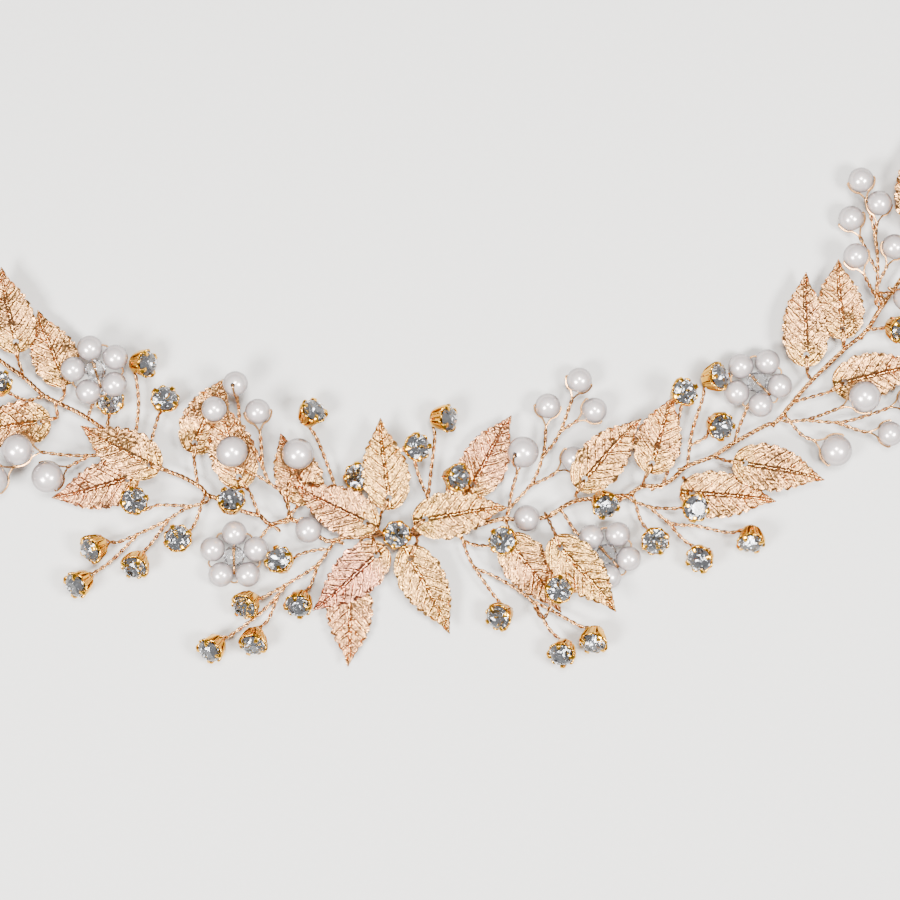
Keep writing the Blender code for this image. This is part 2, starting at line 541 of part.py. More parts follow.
def build_right_sprays():
    build_spray(
        "centre_top_stones", "gilt_wire",
        stone(10, 25, (8.6, 1.6, 3.3), (6.4, 6.0, 3.2), (4.4, 10.6, 4.4), (3.6, 16.6, 7.1)),
        stone(0, 60, (5.9, 6.8, 3.2), (6.6, 13.0, 2.8), (7.2, 18.4, 3.2), (8.9, 22.1, 4.0)),
        stone(355, 35, (7.6, 3.6, 3.2), (9.4, 7.0, 3.4), (11.2, 11.0, 6.0)))
    build_spray(
        "right_stone_spray_inner", "gilt_wire",
        stone(210, 35, (12.2, -0.2, 2.6), (13.9, -4.8, 2.6), (17.1, -9.7, 2.8), (19.7, -15.4, 3.6)),
        stone(240, 35, (15.0, -6.4, 2.6), (20.1, -8.8, 2.2), (25.6, -12.6, 2.2), (29.0, -18.0, 2.8),
              (31.5, -22.3, 3.6)),
        stone(255, 45, (25.6, -12.6, 2.2), (29.3, -14.4, 2.2), (34.8, -17.4, 2.8), (37.5, -19.9, 3.6)),
        stone(60, 20, (26.2, -13.8, 2.3), (27.8, -15.8, 4.6), (29.6, -13.0, 6.0), (30.4, -10.4, 8.4)),
        stone(160, 15, (12.5, -1.0, 2.6), (15.0, -2.0, 2.8), (18.6, -2.0, 4.6), (20.2, -1.0, 7.4)))
    build_spray(
        "right_pearl_spray", "pearl",
        pearl(LARGE_PEARL, (21.2, 4.4, 2.8), (21.9, 8.4, 3.4), (23.9, 15.7, 6.4)),
        pearl(SMALL_PEARL, (21.4, 4.9, 2.8), (25.8, 10.0, 3.0), (27.9, 15.6, 3.0), (28.7, 24.5, 3.4)),
        pearl(SMALL_PEARL, (27.6, 14.6, 3.0), (30.8, 19.0, 3.0), (34.7, 29.4, 3.4)),
        pearl(SMALL_PEARL, (31.0, 19.6, 3.0), (37.6, 23.7, 3.4)),
        pearl(SMALL_PEARL, (25.2, 9.2, 3.0), (29.0, 11.0, 2.8), (33.6, 14.4, 2.6)))
    build_flower("right_flower", (39.9, -3.7, 2.6), 132, ((31.6, 4.2, 2.6), (34.0, 0.6, 2.6)))
    build_spray(
        "right_stone_spray_outer", "gilt_wire",
        stone(350, 15, (45.0, 6.4, 2.6), (48.6, 5.2, 2.8), (52.4, 5.0, 4.0), (56.3, 5.2, 6.2)),
        stone(265, 50, (47.8, 5.4, 2.7), (52.2, 2.2, 2.4), (57.2, 1.6, 2.4), (63.0, 0.4, 2.8),
              (67.3, -0.8, 3.6)),
        stone(215, 30, (51.2, 3.0, 2.5), (54.4, -0.8, 2.6), (57.8, -4.4, 3.6)),
        stone(270, 8, (45.4, 6.2, 2.6), (46.4, 2.8, 2.4), (49.1, -1.1, 3.4)))
    build_flower("far_right_flower", (68.6, 29.0, 2.8), 135, ((64.6, 18.9, 2.8), (66.6, 24.0, 2.8)))
    build_spray(
        "right_top_stones", "gilt_wire",
        stone(15, 50, (55.4, 14.0, 2.8), (56.2, 19.6, 2.8), (58.2, 26.0, 3.2), (60.5, 29.9, 3.8)),
        stone(325, 30, (56.0, 17.0, 2.8), (58.8, 18.6, 3.0), (61.3, 20.8, 3.6)))
    build_spray(
        "far_right_pearl_spray", "pearl",
        pearl(LARGE_PEARL, (74.0, 21.6, 2.8), (78.0, 21.9, 3.4), (83.4, 23.9, 6.2), (88.4, 26.2, 7.0)),
        pearl(SMALL_PEARL, (77.4, 21.8, 3.3), (84.4, 21.4, 3.4), (90.4, 23.0, 3.4), (97.6, 25.6, 3.4)),
        pearl(SMALL_PEARL, (83.4, 21.4, 3.4), (88.3, 19.7, 3.2), (93.9, 19.2, 3.2)),
        pearl(LARGE_PEARL, (74.8, 21.6, 2.9), (77.1, 19.0, 3.0), (83.6, 16.0, 3.4)))
    build_spray(
        "top_right_pearl_spray", "pearl",
        pearl(SMALL_PEARL, (91.2, 44.4, 3.0), (91.4, 50.7, 4.0), (90.8, 57.2, 4.0), (88.2, 67.4, 4.0)),
        pearl(SMALL_PEARL, (90.9, 56.2, 4.0), (91.6, 63.0, 4.2)),
        pearl(SMALL_PEARL, (91.4, 49.6, 3.9), (89.4, 53.8, 3.6), (86.4, 60.2, 3.4)),
        pearl(SMALL_PEARL, (91.2, 45.2, 3.1), (88.9, 48.6, 5.4), (86.8, 52.8, 6.6)),
        pearl(SMALL_PEARL, (91.3, 46.6, 3.4), (92.8, 50.4, 4.2), (94.4, 54.7, 4.6)),
        pearl(SMALL_PEARL, (91.3, 45.8, 3.3), (94.4, 45.9, 6.6), (96.2, 44.8, 6.8)))


def build_end_sprays():
    build_spray(
        "left_end_spray", "pearl",
        pearl(SMALL_PEARL, (-92.8, 50.0, 2.8), (-97.8, 51.0, 3.0), (-103.4, 53.4, 3.2)),
        stone(170, 30, (-96.0, 50.6, 2.9), (-99.6, 47.6, 3.0), (-103.2, 45.6, 3.6)))
    build_spray(
        "right_end_spray", "pearl",
        pearl(SMALL_PEARL, (108.6, 70.0, 2.8), (112.4, 71.0, 3.0), (116.8, 73.4, 3.2)),
        pearl(SMALL_PEARL, (110.6, 70.6, 2.9), (114.6, 68.6, 3.0), (119.4, 67.4, 3.2)))


def main():
    for name in LEAVES:
        build_leaf(name)
    build_stems()
    build_centre()
    build_threaded()
    build_left_sprays()
    build_right_sprays()
    build_end_sprays()
    weld_and_cut()


main()
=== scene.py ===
"""Bridal hair vine: gilt leaves, imitation pearls, pearl flowers and rhinestones in
claw cups, on twisted brass wire. Run as a script; it models every piece in place
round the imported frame, gives it its finish and sets a plain studio stage."""

import json
from contextlib import contextmanager
from math import cos, pi, radians, sin

import bpy
import numpy as np
from bpy.props import FloatProperty, FloatVectorProperty, PointerProperty
from bpy.types import Operator, Panel, PropertyGroup
from mathutils import Euler, Matrix, Vector, noise

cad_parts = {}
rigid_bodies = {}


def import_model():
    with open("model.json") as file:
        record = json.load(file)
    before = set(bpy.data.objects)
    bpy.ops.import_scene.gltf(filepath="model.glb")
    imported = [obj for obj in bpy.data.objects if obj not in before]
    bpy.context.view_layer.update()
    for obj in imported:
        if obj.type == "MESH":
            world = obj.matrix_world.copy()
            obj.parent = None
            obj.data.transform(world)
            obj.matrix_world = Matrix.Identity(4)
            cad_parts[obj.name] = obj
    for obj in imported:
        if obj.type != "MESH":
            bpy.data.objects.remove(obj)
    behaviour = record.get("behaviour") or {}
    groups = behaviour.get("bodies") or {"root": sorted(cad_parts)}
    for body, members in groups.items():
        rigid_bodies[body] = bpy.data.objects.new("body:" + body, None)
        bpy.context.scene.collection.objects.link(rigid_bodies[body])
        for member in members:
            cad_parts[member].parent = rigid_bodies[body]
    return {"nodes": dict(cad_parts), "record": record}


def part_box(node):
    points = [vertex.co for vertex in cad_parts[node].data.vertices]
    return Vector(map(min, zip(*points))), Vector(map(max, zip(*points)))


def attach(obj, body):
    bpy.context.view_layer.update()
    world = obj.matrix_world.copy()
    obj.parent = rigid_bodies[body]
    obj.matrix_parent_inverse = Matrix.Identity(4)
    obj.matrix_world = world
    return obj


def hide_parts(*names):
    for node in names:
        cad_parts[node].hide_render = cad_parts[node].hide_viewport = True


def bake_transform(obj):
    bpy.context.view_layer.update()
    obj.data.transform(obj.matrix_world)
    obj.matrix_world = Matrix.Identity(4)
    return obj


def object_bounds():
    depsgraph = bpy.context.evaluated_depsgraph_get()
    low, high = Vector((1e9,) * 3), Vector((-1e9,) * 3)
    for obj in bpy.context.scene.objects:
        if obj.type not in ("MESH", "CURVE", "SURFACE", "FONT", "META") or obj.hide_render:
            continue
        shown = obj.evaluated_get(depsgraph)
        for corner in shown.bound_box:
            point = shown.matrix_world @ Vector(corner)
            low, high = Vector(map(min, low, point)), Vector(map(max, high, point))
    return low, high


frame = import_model()

bl_info = {
    "name": "Bridal hair vine",
    "version": (1, 0, 0),
    "blender": (4, 5, 0),
    "location": "3D View > Sidebar > Hair vine",
    "description": "Models a wired hair vine of gilt leaves, pearls and rhinestones",
    "category": "Object",
}

MM = 0.001
CAD_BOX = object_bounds()
RECORD = frame["record"]
JOINTS = {joint["name"]: joint for joint in RECORD["behaviour"]["joints"]}
BODY_OF = {node: body for body, nodes in RECORD["behaviour"]["bodies"].items() for node in nodes}
LEAVES = sorted(node for node in frame["nodes"] if node.startswith("leaf_"))

# ---------------------------------------------------------------- layout, in millimetres
# The wires' routes repeat the CAD's. Each twig ends in a pearl, a stone or nothing.


def pearl(diameter, *route):
    return {"end": "pearl", "diameter": diameter, "route": route}


def stone(heading, tilt, *route):
    return {"end": "stone", "heading": heading, "tilt": tilt, "route": route}


def twig(*route):
    return {"end": "bare", "route": route}


# pearls, as diameters, and the radius that their drill hole is drawn for
LARGE, SMALL = 6.0, 4.8
STEM_PEARL = 5.1
MEAN_PEARL_RADIUS = 2.6

# a setting: a stone in its cup; the seat is the stone's centre above the setting's
SETTING_HEIGHT = 4.4
CUP_BASE_RADIUS = 1.5
STONE_RADIUS = 2.36
STONE_SEAT = 1.1
FLUTES = 16
CLAW_THICKNESS = 0.34

# how finely wires are drawn: the distance between points on a twig, the stem and a loop
TWIG_STEP = 0.36
STEM_STEP = 0.4
LOOP_STEP = 0.3

# how far strands lie from the middle of their twist, in strand radii
TWIG_SPREAD = 1.12
STEM_SPREAD = 1.55

# how far short of a pearl's skin or a cup's base a twist ends and its loop starts
PEARL_TWIST_END = 1.3
PEARL_LOOP_START = 1.5
CUP_TWIST_END = 1.5
CUP_LOOP_START = 1.6

# x, y, heading and tilt of the two settings on the stem
STEM_SETTINGS = {
    "left_stem_setting": (-31.3, 6.3, 80, 35),
    "right_stem_setting": (39.3, 6.0, 300, 35),
}

SPRAYS = {
    "left_stone_spray_inner": (
        stone(230, 40, (-12.6, -2.3, 2.6), (-15.4, -5.9, 2.6), (-20.9, -9.4, 2.6),
              (-25.6, -12.0, 2.8), (-28.6, -13.2, 3.6)),
        stone(230, 45, (-20.9, -9.4, 2.6), (-25.3, -14.3, 2.6), (-31.4, -19.0, 2.8),
              (-35.1, -21.5, 3.6)),
        stone(260, 45, (-22.6, -11.4, 2.6), (-24.4, -16.0, 2.6), (-27.2, -20.2, 3.6)),
        stone(250, 35, (-14.9, -5.3, 2.6), (-16.4, -9.6, 2.8), (-18.6, -13.0, 3.6)),
        stone(130, 30, (-12.9, -2.7, 2.6), (-15.2, -2.9, 2.6), (-18.6, -3.8, 3.0),
              (-22.2, -5.0, 3.4)),
    ),
    "left_stone_spray_outer": (
        stone(210, 50, (-36.4, 6.2, 2.6), (-40.5, 4.8, 2.6), (-44.8, 2.2, 2.6), (-52.4, -1.2, 2.8),
              (-57.6, -2.5, 3.6)),
        stone(215, 45, (-49.2, 0.2, 2.7), (-54.3, -4.9, 2.6), (-60.4, -9.2, 3.6)),
        stone(250, 40, (-43.4, 3.0, 2.6), (-46.6, -1.4, 2.6), (-49.6, -5.6, 3.6)),
        stone(90, 15, (-37.2, 5.9, 2.6), (-38.6, 1.9, 2.6), (-41.6, -0.9, 3.4)),
        stone(40, 20, (-39.0, 5.4, 2.7), (-45.4, 5.6, 3.0), (-48.0, 4.6, 3.4), (-49.8, 6.3, 6.0)),
    ),
    "left_pearl_spray": (
        pearl(LARGE, (-20.4, 4.2, 3.4), (-21.9, 8.1, 5.4), (-25.6, 10.8, 6.0),
              (-29.0, 12.6, 6.6), (-31.0, 15.8, 8.0)),
        pearl(SMALL, (-24.2, 10.0, 5.9), (-26.6, 15.7, 6.4), (-30.0, 20.6, 6.8),
              (-34.4, 23.8, 7.4)),
        pearl(SMALL, (-29.6, 20.0, 6.8), (-29.8, 24.0, 6.8), (-30.4, 28.6, 7.4)),
        pearl(SMALL, (-25.4, 12.8, 6.2), (-25.6, 17.4, 6.6), (-26.2, 23.4, 7.2)),
        pearl(LARGE, (-20.6, 4.8, 3.6), (-20.6, 9.0, 5.6), (-18.6, 15.4, 7.0)),
    ),
    "left_top_stones": (
        stone(60, 25, (-47.4, 15.4, 2.8), (-45.8, 21.4, 3.0), (-44.2, 25.5, 3.6)),
        stone(0, 60, (-50.0, 17.0, 2.8), (-49.2, 24.6, 3.0), (-49.6, 29.6, 3.4), (-48.2, 32.5, 4.2)),
        twig((-50.2, 17.3, 2.9), (-47.2, 16.2, 2.8)),
    ),
    "left_low_stone": (
        stone(70, 5, (-55.2, 20.6, 2.8), (-54.9, 23.0, 1.6), (-54.6, 25.4, 2.4)),
    ),
    "far_left_pearl_spray": (
        pearl(LARGE, (-51.2, 15.3, 3.8), (-57.2, 15.1, 3.9), (-62.4, 15.1, 4.0),
              (-67.3, 15.7, 5.6), (-71.7, 16.2, 6.6)),
        pearl(LARGE, (-58.2, 15.1, 3.9), (-61.8, 13.2, 4.4), (-66.0, 11.0, 6.6)),
        pearl(LARGE, (-68.8, 15.9, 5.6), (-72.0, 13.2, 5.8), (-76.6, 10.6, 6.0)),
    ),
    "centre_top_stones": (
        stone(10, 25, (8.6, 1.6, 3.3), (6.4, 6.0, 3.2), (4.4, 10.6, 4.4), (3.6, 16.6, 7.1)),
        stone(0, 60, (5.9, 6.8, 3.2), (6.6, 13.0, 2.8), (7.2, 18.4, 3.2), (8.9, 22.1, 4.0)),
        stone(355, 35, (7.6, 3.6, 3.2), (9.4, 7.0, 3.4), (11.2, 11.0, 6.0)),
    ),
    "right_stone_spray_inner": (
        stone(210, 35, (12.2, -0.2, 2.6), (13.9, -4.8, 2.6), (17.1, -9.7, 2.8), (19.7, -15.4, 3.6)),
        stone(240, 35, (15.0, -6.4, 2.6), (20.1, -8.8, 2.2), (25.6, -12.6, 2.2), (29.0, -18.0, 2.8),
              (31.5, -22.3, 3.6)),
        stone(255, 45, (25.6, -12.6, 2.2), (29.3, -14.4, 2.2), (34.8, -17.4, 2.8), (37.5, -19.9, 3.6)),
        stone(60, 20, (26.2, -13.8, 2.3), (27.8, -15.8, 4.6), (29.6, -13.0, 6.0), (30.4, -10.4, 8.4)),
        stone(160, 15, (12.5, -1.0, 2.6), (15.0, -2.0, 2.8), (18.6, -2.0, 4.6), (20.2, -1.0, 7.4)),
    ),
    "right_pearl_spray": (
        pearl(LARGE, (21.2, 4.4, 2.8), (21.9, 8.4, 3.4), (23.9, 15.7, 6.4)),
        pearl(SMALL, (21.4, 4.9, 2.8), (25.8, 10.0, 3.0), (27.9, 15.6, 3.0), (28.7, 24.5, 3.4)),
        pearl(SMALL, (27.6, 14.6, 3.0), (30.8, 19.0, 3.0), (34.7, 29.4, 3.4)),
        pearl(SMALL, (31.0, 19.6, 3.0), (37.6, 23.7, 3.4)),
        pearl(SMALL, (25.2, 9.2, 3.0), (29.0, 11.0, 2.8), (33.6, 14.4, 2.6)),
    ),
    "right_stone_spray_outer": (
        stone(350, 15, (45.0, 6.4, 2.6), (48.6, 5.2, 2.8), (52.4, 5.0, 4.0), (56.3, 5.2, 6.2)),
        stone(265, 50, (47.8, 5.4, 2.7), (52.2, 2.2, 2.4), (57.2, 1.6, 2.4), (63.0, 0.4, 2.8),
              (67.3, -0.8, 3.6)),
        stone(215, 30, (51.2, 3.0, 2.5), (54.4, -0.8, 2.6), (57.8, -4.4, 3.6)),
        stone(270, 8, (45.4, 6.2, 2.6), (46.4, 2.8, 2.4), (49.1, -1.1, 3.4)),
    ),
    "right_top_stones": (
        stone(15, 50, (55.4, 14.0, 2.8), (56.2, 19.6, 2.8), (58.2, 26.0, 3.2), (60.5, 29.9, 3.8)),
        stone(325, 30, (56.0, 17.0, 2.8), (58.8, 18.6, 3.0), (61.3, 20.8, 3.6)),
    ),
    "far_right_pearl_spray": (
        pearl(LARGE, (74.0, 21.6, 2.8), (78.0, 21.9, 3.4), (83.4, 23.9, 6.2), (88.4, 26.2, 7.0)),
        pearl(SMALL, (77.4, 21.8, 3.3), (84.4, 21.4, 3.4), (90.4, 23.0, 3.4), (97.6, 25.6, 3.4)),
        pearl(SMALL, (83.4, 21.4, 3.4), (88.3, 19.7, 3.2), (93.9, 19.2, 3.2)),
        pearl(LARGE, (74.8, 21.6, 2.9), (77.1, 19.0, 3.0), (83.6, 16.0, 3.4)),
    ),
    "top_right_pearl_spray": (
        pearl(SMALL, (91.2, 44.4, 3.0), (91.4, 50.7, 4.0), (90.8, 57.2, 4.0), (88.2, 67.4, 4.0)),
        pearl(SMALL, (90.9, 56.2, 4.0), (91.6, 63.0, 4.2)),
        pearl(SMALL, (91.4, 49.6, 3.9), (89.4, 53.8, 3.6), (86.4, 60.2, 3.4)),
        pearl(SMALL, (91.2, 45.2, 3.1), (88.9, 48.6, 5.4), (86.8, 52.8, 6.6)),
        pearl(SMALL, (91.3, 46.6, 3.4), (92.8, 50.4, 4.2), (94.4, 54.7, 4.6)),
        pearl(SMALL, (91.3, 45.8, 3.3), (94.4, 45.9, 6.6), (96.2, 44.8, 6.8)),
    ),
    "left_end_spray": (
        pearl(SMALL, (-92.8, 50.0, 2.8), (-97.8, 51.0, 3.0), (-103.4, 53.4, 3.2)),
        stone(170, 30, (-96.0, 50.6, 2.9), (-99.6, 47.6, 3.0), (-103.2, 45.6, 3.6)),
    ),
    "right_end_spray": (
        pearl(SMALL, (108.6, 70.0, 2.8), (112.4, 71.0, 3.0), (116.8, 73.4, 3.2)),
        pearl(SMALL, (110.6, 70.6, 2.9), (114.6, 68.6, 3.0), (119.4, 67.4, 3.2)),
    ),
}

# Twigs that leave a stem length and belong to its node.
STEM_TWIGS = {
    "stem_centre": (
        stone(100, 5, (-7.0, -0.4, 2.6), (-7.8, 5.0, 1.8), (-8.0, 8.0, 1.2), (-7.4, 11.0, 2.35)),
        stone(50, 50, (-9.0, -0.5, 2.6), (-10.6, 5.6, 2.2), (-13.0, 12.6, 2.4), (-15.2, 18.2, 3.2),
              (-16.2, 23.0, 4.2)),
    ),
    "stem_left_outer": (
        stone(60, 40, (-67.0, 26.4, 2.6), (-70.6, 25.6, 3.4), (-73.6, 27.0, 5.6), (-75.2, 28.5, 7.8)),
    ),
    "stem_right_inner": (
        stone(30, 25, (50.6, 9.4, 2.7), (52.8, 16.0, 2.6), (53.6, 21.5, 2.8), (55.0, 25.6, 4.6),
              (54.0, 26.9, 7.4)),
    ),
    "stem_right_outer": (
        stone(-30, 35, (90.0, 39.0, 2.7), (93.0, 39.2, 2.6), (95.4, 39.2, 3.5)),
    ),
}

FLOWERS = {
    "far_left_flower": {"centre": (-56.8, 31.2, 6.4), "first": 106,
                        "stalk": ((-58.6, 22.8, 3.6), (-57.2, 26.0, 4.6))},
    "left_flower": {"centre": (-31.0, -4.1, 2.6), "first": 90,
                    "stalk": ((-24.6, 1.2, 2.6), (-26.0, -0.6, 2.6))},
    "right_flower": {"centre": (39.9, -3.7, 2.6), "first": 132,
                     "stalk": ((31.6, 4.2, 2.6), (34.0, 0.6, 2.6))},
    "far_right_flower": {"centre": (68.6, 29.0, 2.8), "first": 135,
                         "stalk": ((64.6, 18.9, 2.8), (66.6, 24.0, 2.8))},
}
FLOWER_RING = 4.35         # pearl centres from the flower's centre
FLOWER_EDGE = 4.3          # where the stalk meets the ring
THREAD_HALF = 2.2          # the ring wire runs straight this far each side of a pearl's centre
CUT_BEAD_RADIUS = 2.1
CUT_BEAD_LIFT = 0.6

# The stem's centre line from the left end to the right end, and the lengths it is in.
STEM_HEIGHT = 2.6


def level(*points):
    """Points of the stem's route at its usual height."""
    return tuple((x, y, STEM_HEIGHT) for x, y in points)


STEM_ROUTE = (
    *level(
        (-99.6, 64.6), (-95.0, 55.0), (-89.0, 46.2), (-82.0, 38.6), (-75.4, 33.0), (-71.2, 30.0),
        (-67.4, 26.6), (-64.4, 25.0), (-60.3, 23.0), (-56.8, 20.7), (-50.7, 16.3), (-44.8, 12.6),
        (-40.9, 11.0), (-37.4, 9.0), (-36.2, 7.6), (-34.2, 6.8), (-29.3, 4.4), (-26.2, 3.6),
        (-24.1, 2.0), (-19.8, 2.7), (-14.0, -0.9), (-12.5, -1.2), (-10.0, -0.6),
    ),
    # the dip at the centre cup
    (-7.0, -0.5, 2.5), (-3.4, 0.0, 1.25), (3.4, 0.0, 1.25), (7.0, 0.6, 2.4),
    *level(
        (12.0, 0.9), (20.0, 3.0), (21.0, 2.9), (28.4, 3.3), (31.5, 5.2), (34.0, 6.4), (38.0, 6.9),
        (42.6, 7.4), (43.9, 7.4), (45.4, 8.4), (46.9, 9.2), (50.0, 9.3), (52.3, 10.4),
        (55.1, 12.9), (60.2, 14.9), (64.4, 17.6), (70.3, 20.8), (72.4, 21.6), (76.9, 27.0),
        (80.4, 30.7), (85.4, 35.4), (89.3, 38.7), (92.2, 43.2), (96.0, 48.6), (101.0, 56.4),
        (106.0, 66.0), (109.8, 76.0), (112.0, 84.0),
    ),
)
# name, joint it bends at, node it stands for, and the point where it ends on the route
STEM_LENGTHS = (
    ("stem_wire_far_left", "left_outer_bend", "stem_left_outer", (-50.7, 16.3, 2.6)),
    ("stem_wire_left", "left_middle_bend", "stem_left_middle", (-26.2, 3.6, 2.6)),
    ("stem_wire_left_centre", "left_inner_bend", "stem_left_inner", (-3.4, 0.0, 1.25)),
    ("stem_wire_right_centre", "right_inner_bend", "stem_centre", (46.9, 9.2, 2.6)),
    ("stem_wire_right", "right_middle_bend", "stem_right_inner", (64.4, 17.6, 2.6)),
    ("stem_wire_far_right", "right_outer_bend", "stem_right_middle", (112.0, 84.0, 2.6)),
)
END_LOOPS = {
    "end_loop_left": ((-99.6, 64.6), (-100.6, 66.4), "stem_left_outer"),
    "end_loop_right": ((112.0, 84.0), (112.4, 86.0), "stem_right_outer"),
}

# Each leaf's wire: where it leaves the stem and the point it rises from, under the leaf.
LEAF_STALKS = {
    "leaf_centre_top": ((-4.0, 0.0, 1.9), (-2.9, 4.2, 3.2)),
    "leaf_centre_left_upper": ((-4.6, -0.1, 2.1), (-4.8, 1.7, 3.2)),
    "leaf_centre_left_lower": ((-4.6, -0.1, 2.0), (-4.0, -3.2, 3.2)),
    "leaf_bottom_left": ((-6.6, -0.5, 2.5), (-8.4, -5.8, 1.2)),
    "leaf_bottom_right": ((3.8, 0.1, 1.6), (3.0, -3.4, 2.4)),
    "leaf_centre_right": ((4.4, 0.2, 1.9), (4.4, 2.2, 3.2)),
    "leaf_right_upper": ((13.4, 1.2, 2.6), (14.0, 7.0, 1.4)),
    "leaf_left_fan_right": ((-21.4, 2.5, 2.6), (-19.4, 4.8, 1.6)),
    "leaf_left_fan_middle": ((-26.2, 3.6, 2.8), (-28.4, 8.8, 2.8)),
    "leaf_left_fan_left": ((-38.0, 9.6, 2.6), (-38.6, 15.4, 1.6)),
    "leaf_far_left_top": ((-71.2, 30.2, 2.8), (-72.0, 34.6, 3.4)),
    "leaf_far_left_middle": ((-64.4, 25.0, 2.6), (-63.4, 28.0, 1.8)),
    "leaf_far_left_lower": ((-65.2, 25.4, 2.6), (-66.4, 21.8, 1.8)),
    "leaf_left_upper": ((-44.8, 12.6, 2.8), (-46.0, 13.2, 3.2)),
    "leaf_left_lower": ((-45.8, 13.4, 2.6), (-49.4, 11.4, 1.4)),
    "leaf_right_fan_left": ((34.2, 6.6, 2.8), (35.0, 9.6, 4.4)),
    "leaf_right_fan_lower": ((28.2, 4.2, 2.8), (30.0, 0.2, 4.6)),
    "leaf_right_fan_bottom": ((20.4, 3.4, 2.6), (21.4, 0.6, 2.0)),
    "leaf_right_fan_right": ((46.9, 9.2, 2.8), (48.0, 12.6, 3.0)),
    "leaf_right_lower": ((54.0, 11.8, 2.6), (55.4, 9.4, 1.6)),
    "leaf_right_mid": ((60.2, 14.9, 2.8), (64.4, 13.8, 3.6)),
    "leaf_far_right_upper": ((78.8, 29.6, 2.8), (77.8, 32.6, 3.0)),
    "leaf_far_right_inner": ((85.4, 35.4, 2.6), (84.9, 38.0, 1.8)),
    "leaf_far_right_lower": ((75.4, 25.2, 2.6), (83.0, 27.6, 1.8)),
    "leaf_top_right": ((101.6, 57.6, 2.8), (99.8, 58.6, 3.0)),
    "leaf_left_end": ((-88.8, 45.9, 2.8), (-88.2, 50.0, 3.0)),
    "leaf_left_end_lower": ((-86.6, 43.2, 2.8), (-90.0, 42.8, 3.0)),
    "leaf_right_end": ((103.0, 60.6, 2.8), (106.6, 62.4, 3.0)),
}

# How each leaf is bent: tip up and roll in degrees, then lengthwise curl, the sag at the tip,
# and cross curl, of which the edge sags by about EDGE_SAG, in millimetres.
LEAF_SET = {
    "leaf_centre_top": (0, 3, 0.5, 0.5),
    "leaf_centre_left_upper": (0, -4, -0.3, 0.5),
    "leaf_centre_left_lower": (2, 3, -0.4, 0.3),
    "leaf_bottom_left": (1, -3, 0.4, 0.5),
    "leaf_bottom_right": (-1, 3, 0.6, 0.5),
    "leaf_centre_right": (0, 3, 0.4, 0.5),
    "leaf_right_upper": (1, -2, 0.4, 0.5),
    "leaf_left_fan_right": (1, 4, 0.3, 0.5),
    "leaf_left_fan_middle": (0, 2, 0.4, 0.4),
    "leaf_left_fan_left": (1, -3, 0.4, 0.5),
    "leaf_right_fan_left": (1, -3, 0.3, 0.2),
    "leaf_right_fan_lower": (1, -2, 0.4, 0.4),
    "leaf_right_fan_bottom": (0, 2, 0.5, 0.5),
}
DEFAULT_SET = (0, 2, 0.4, 0.5)

# Pearls whose drill hole is turned up from level, in degrees; the others lie near level.
PEARL_TURNS = {
    "left_pearl_spray_3": 82,
    "right_pearl_spray_1": 62,
    "top_right_pearl_spray_6": 70,
}

# How rosy a leaf's plating is: 0 is yellow gold, 1 is rose gold. The others
# have DEFAULT_ROSE.
LEAF_ROSE = {
    "leaf_centre_left_lower": 1.0,
    "leaf_right_upper": 0.75,
    "leaf_bottom_left": 0.6,
    "leaf_centre_left_upper": 0.6,
    "leaf_centre_top": 0.15,
    "leaf_bottom_right": 0.2,
    "leaf_centre_right": 0.25,
    "leaf_right_fan_lower": 0.15,
    "leaf_right_fan_bottom": 0.5,
    "leaf_left_lower": 0.7,
}
DEFAULT_ROSE = 0.45

# Studio lights: place and size in metres, power in watts.
SOFTBOXES = {
    "left_softbox": ((-0.27, -0.17, 0.44), 0.18, 7.0),
    "right_softbox": ((0.30, -0.06, 0.44), 0.15, 5.5),
    "top_softbox": ((0.02, 0.14, 0.58), 0.12, 4.5),
}


# ---------------------------------------------------------------- settings a user would change

def linear(colour):
    """An sRGB hex colour as linear red, green and blue."""
    parts = [int(colour[i:i + 2], 16) / 255 for i in (1, 3, 5)]
    return tuple(c / 12.92 if c <= 0.04045 else ((c + 0.055) / 1.055) ** 2.4 for c in parts)


class HairVineSizes(PropertyGroup):
    leaf_thickness: FloatProperty(
        name="Leaf thickness", description="Thickness of the stamped brass sheet",
        default=0.22 * MM, unit="LENGTH")
    leaf_width: FloatProperty(
        name="Leaf width", description="Widest part of a leaf", default=9.0 * MM, unit="LENGTH")
    vein_spacing: FloatProperty(
        name="Vein spacing", description="Distance between side veins along the midrib",
        default=2.3 * MM, unit="LENGTH")
    strand: FloatProperty(
        name="Wire strand", description="Radius of one drawn brass strand",
        default=0.19 * MM, unit="LENGTH")
    twig_pitch: FloatProperty(
        name="Twig twist", description="Length of one full turn of a twisted pair",
        default=3.2 * MM, unit="LENGTH")
    stem_pitch: FloatProperty(
        name="Stem twist", description="Length of one full turn of the stem's three strands",
        default=3.2 * MM, unit="LENGTH")
    drill_hole: FloatProperty(
        name="Drill hole", description="Radius of the hole through a pearl",
        default=0.42 * MM, unit="LENGTH")


class HairVineColours(PropertyGroup):
    leaf_yellow: FloatVectorProperty(
        name="Leaf, yellow", description="Champagne gold plating", subtype="COLOR",
        default=linear("#C89A58"))
    leaf_rose: FloatVectorProperty(
        name="Leaf, rose", description="Rose gold plating", subtype="COLOR",
        default=linear("#C08466"))
    wire: FloatVectorProperty(
        name="Wire", description="Pale rose gold wire", subtype="COLOR",
        default=linear("#CB955C"))
    cup: FloatVectorProperty(
        name="Cup", description="Yellow gold claw cups", subtype="COLOR",
        default=linear("#D29C32"))
    pearl: FloatVectorProperty(
        name="Pearl", description="Pearl lacquer", subtype="COLOR", default=linear("#ECE0DC"))
    floor: FloatVectorProperty(
        name="Floor", description="Studio floor", subtype="COLOR", default=linear("#DAD8D4"))


# ---------------------------------------------------------------- materials

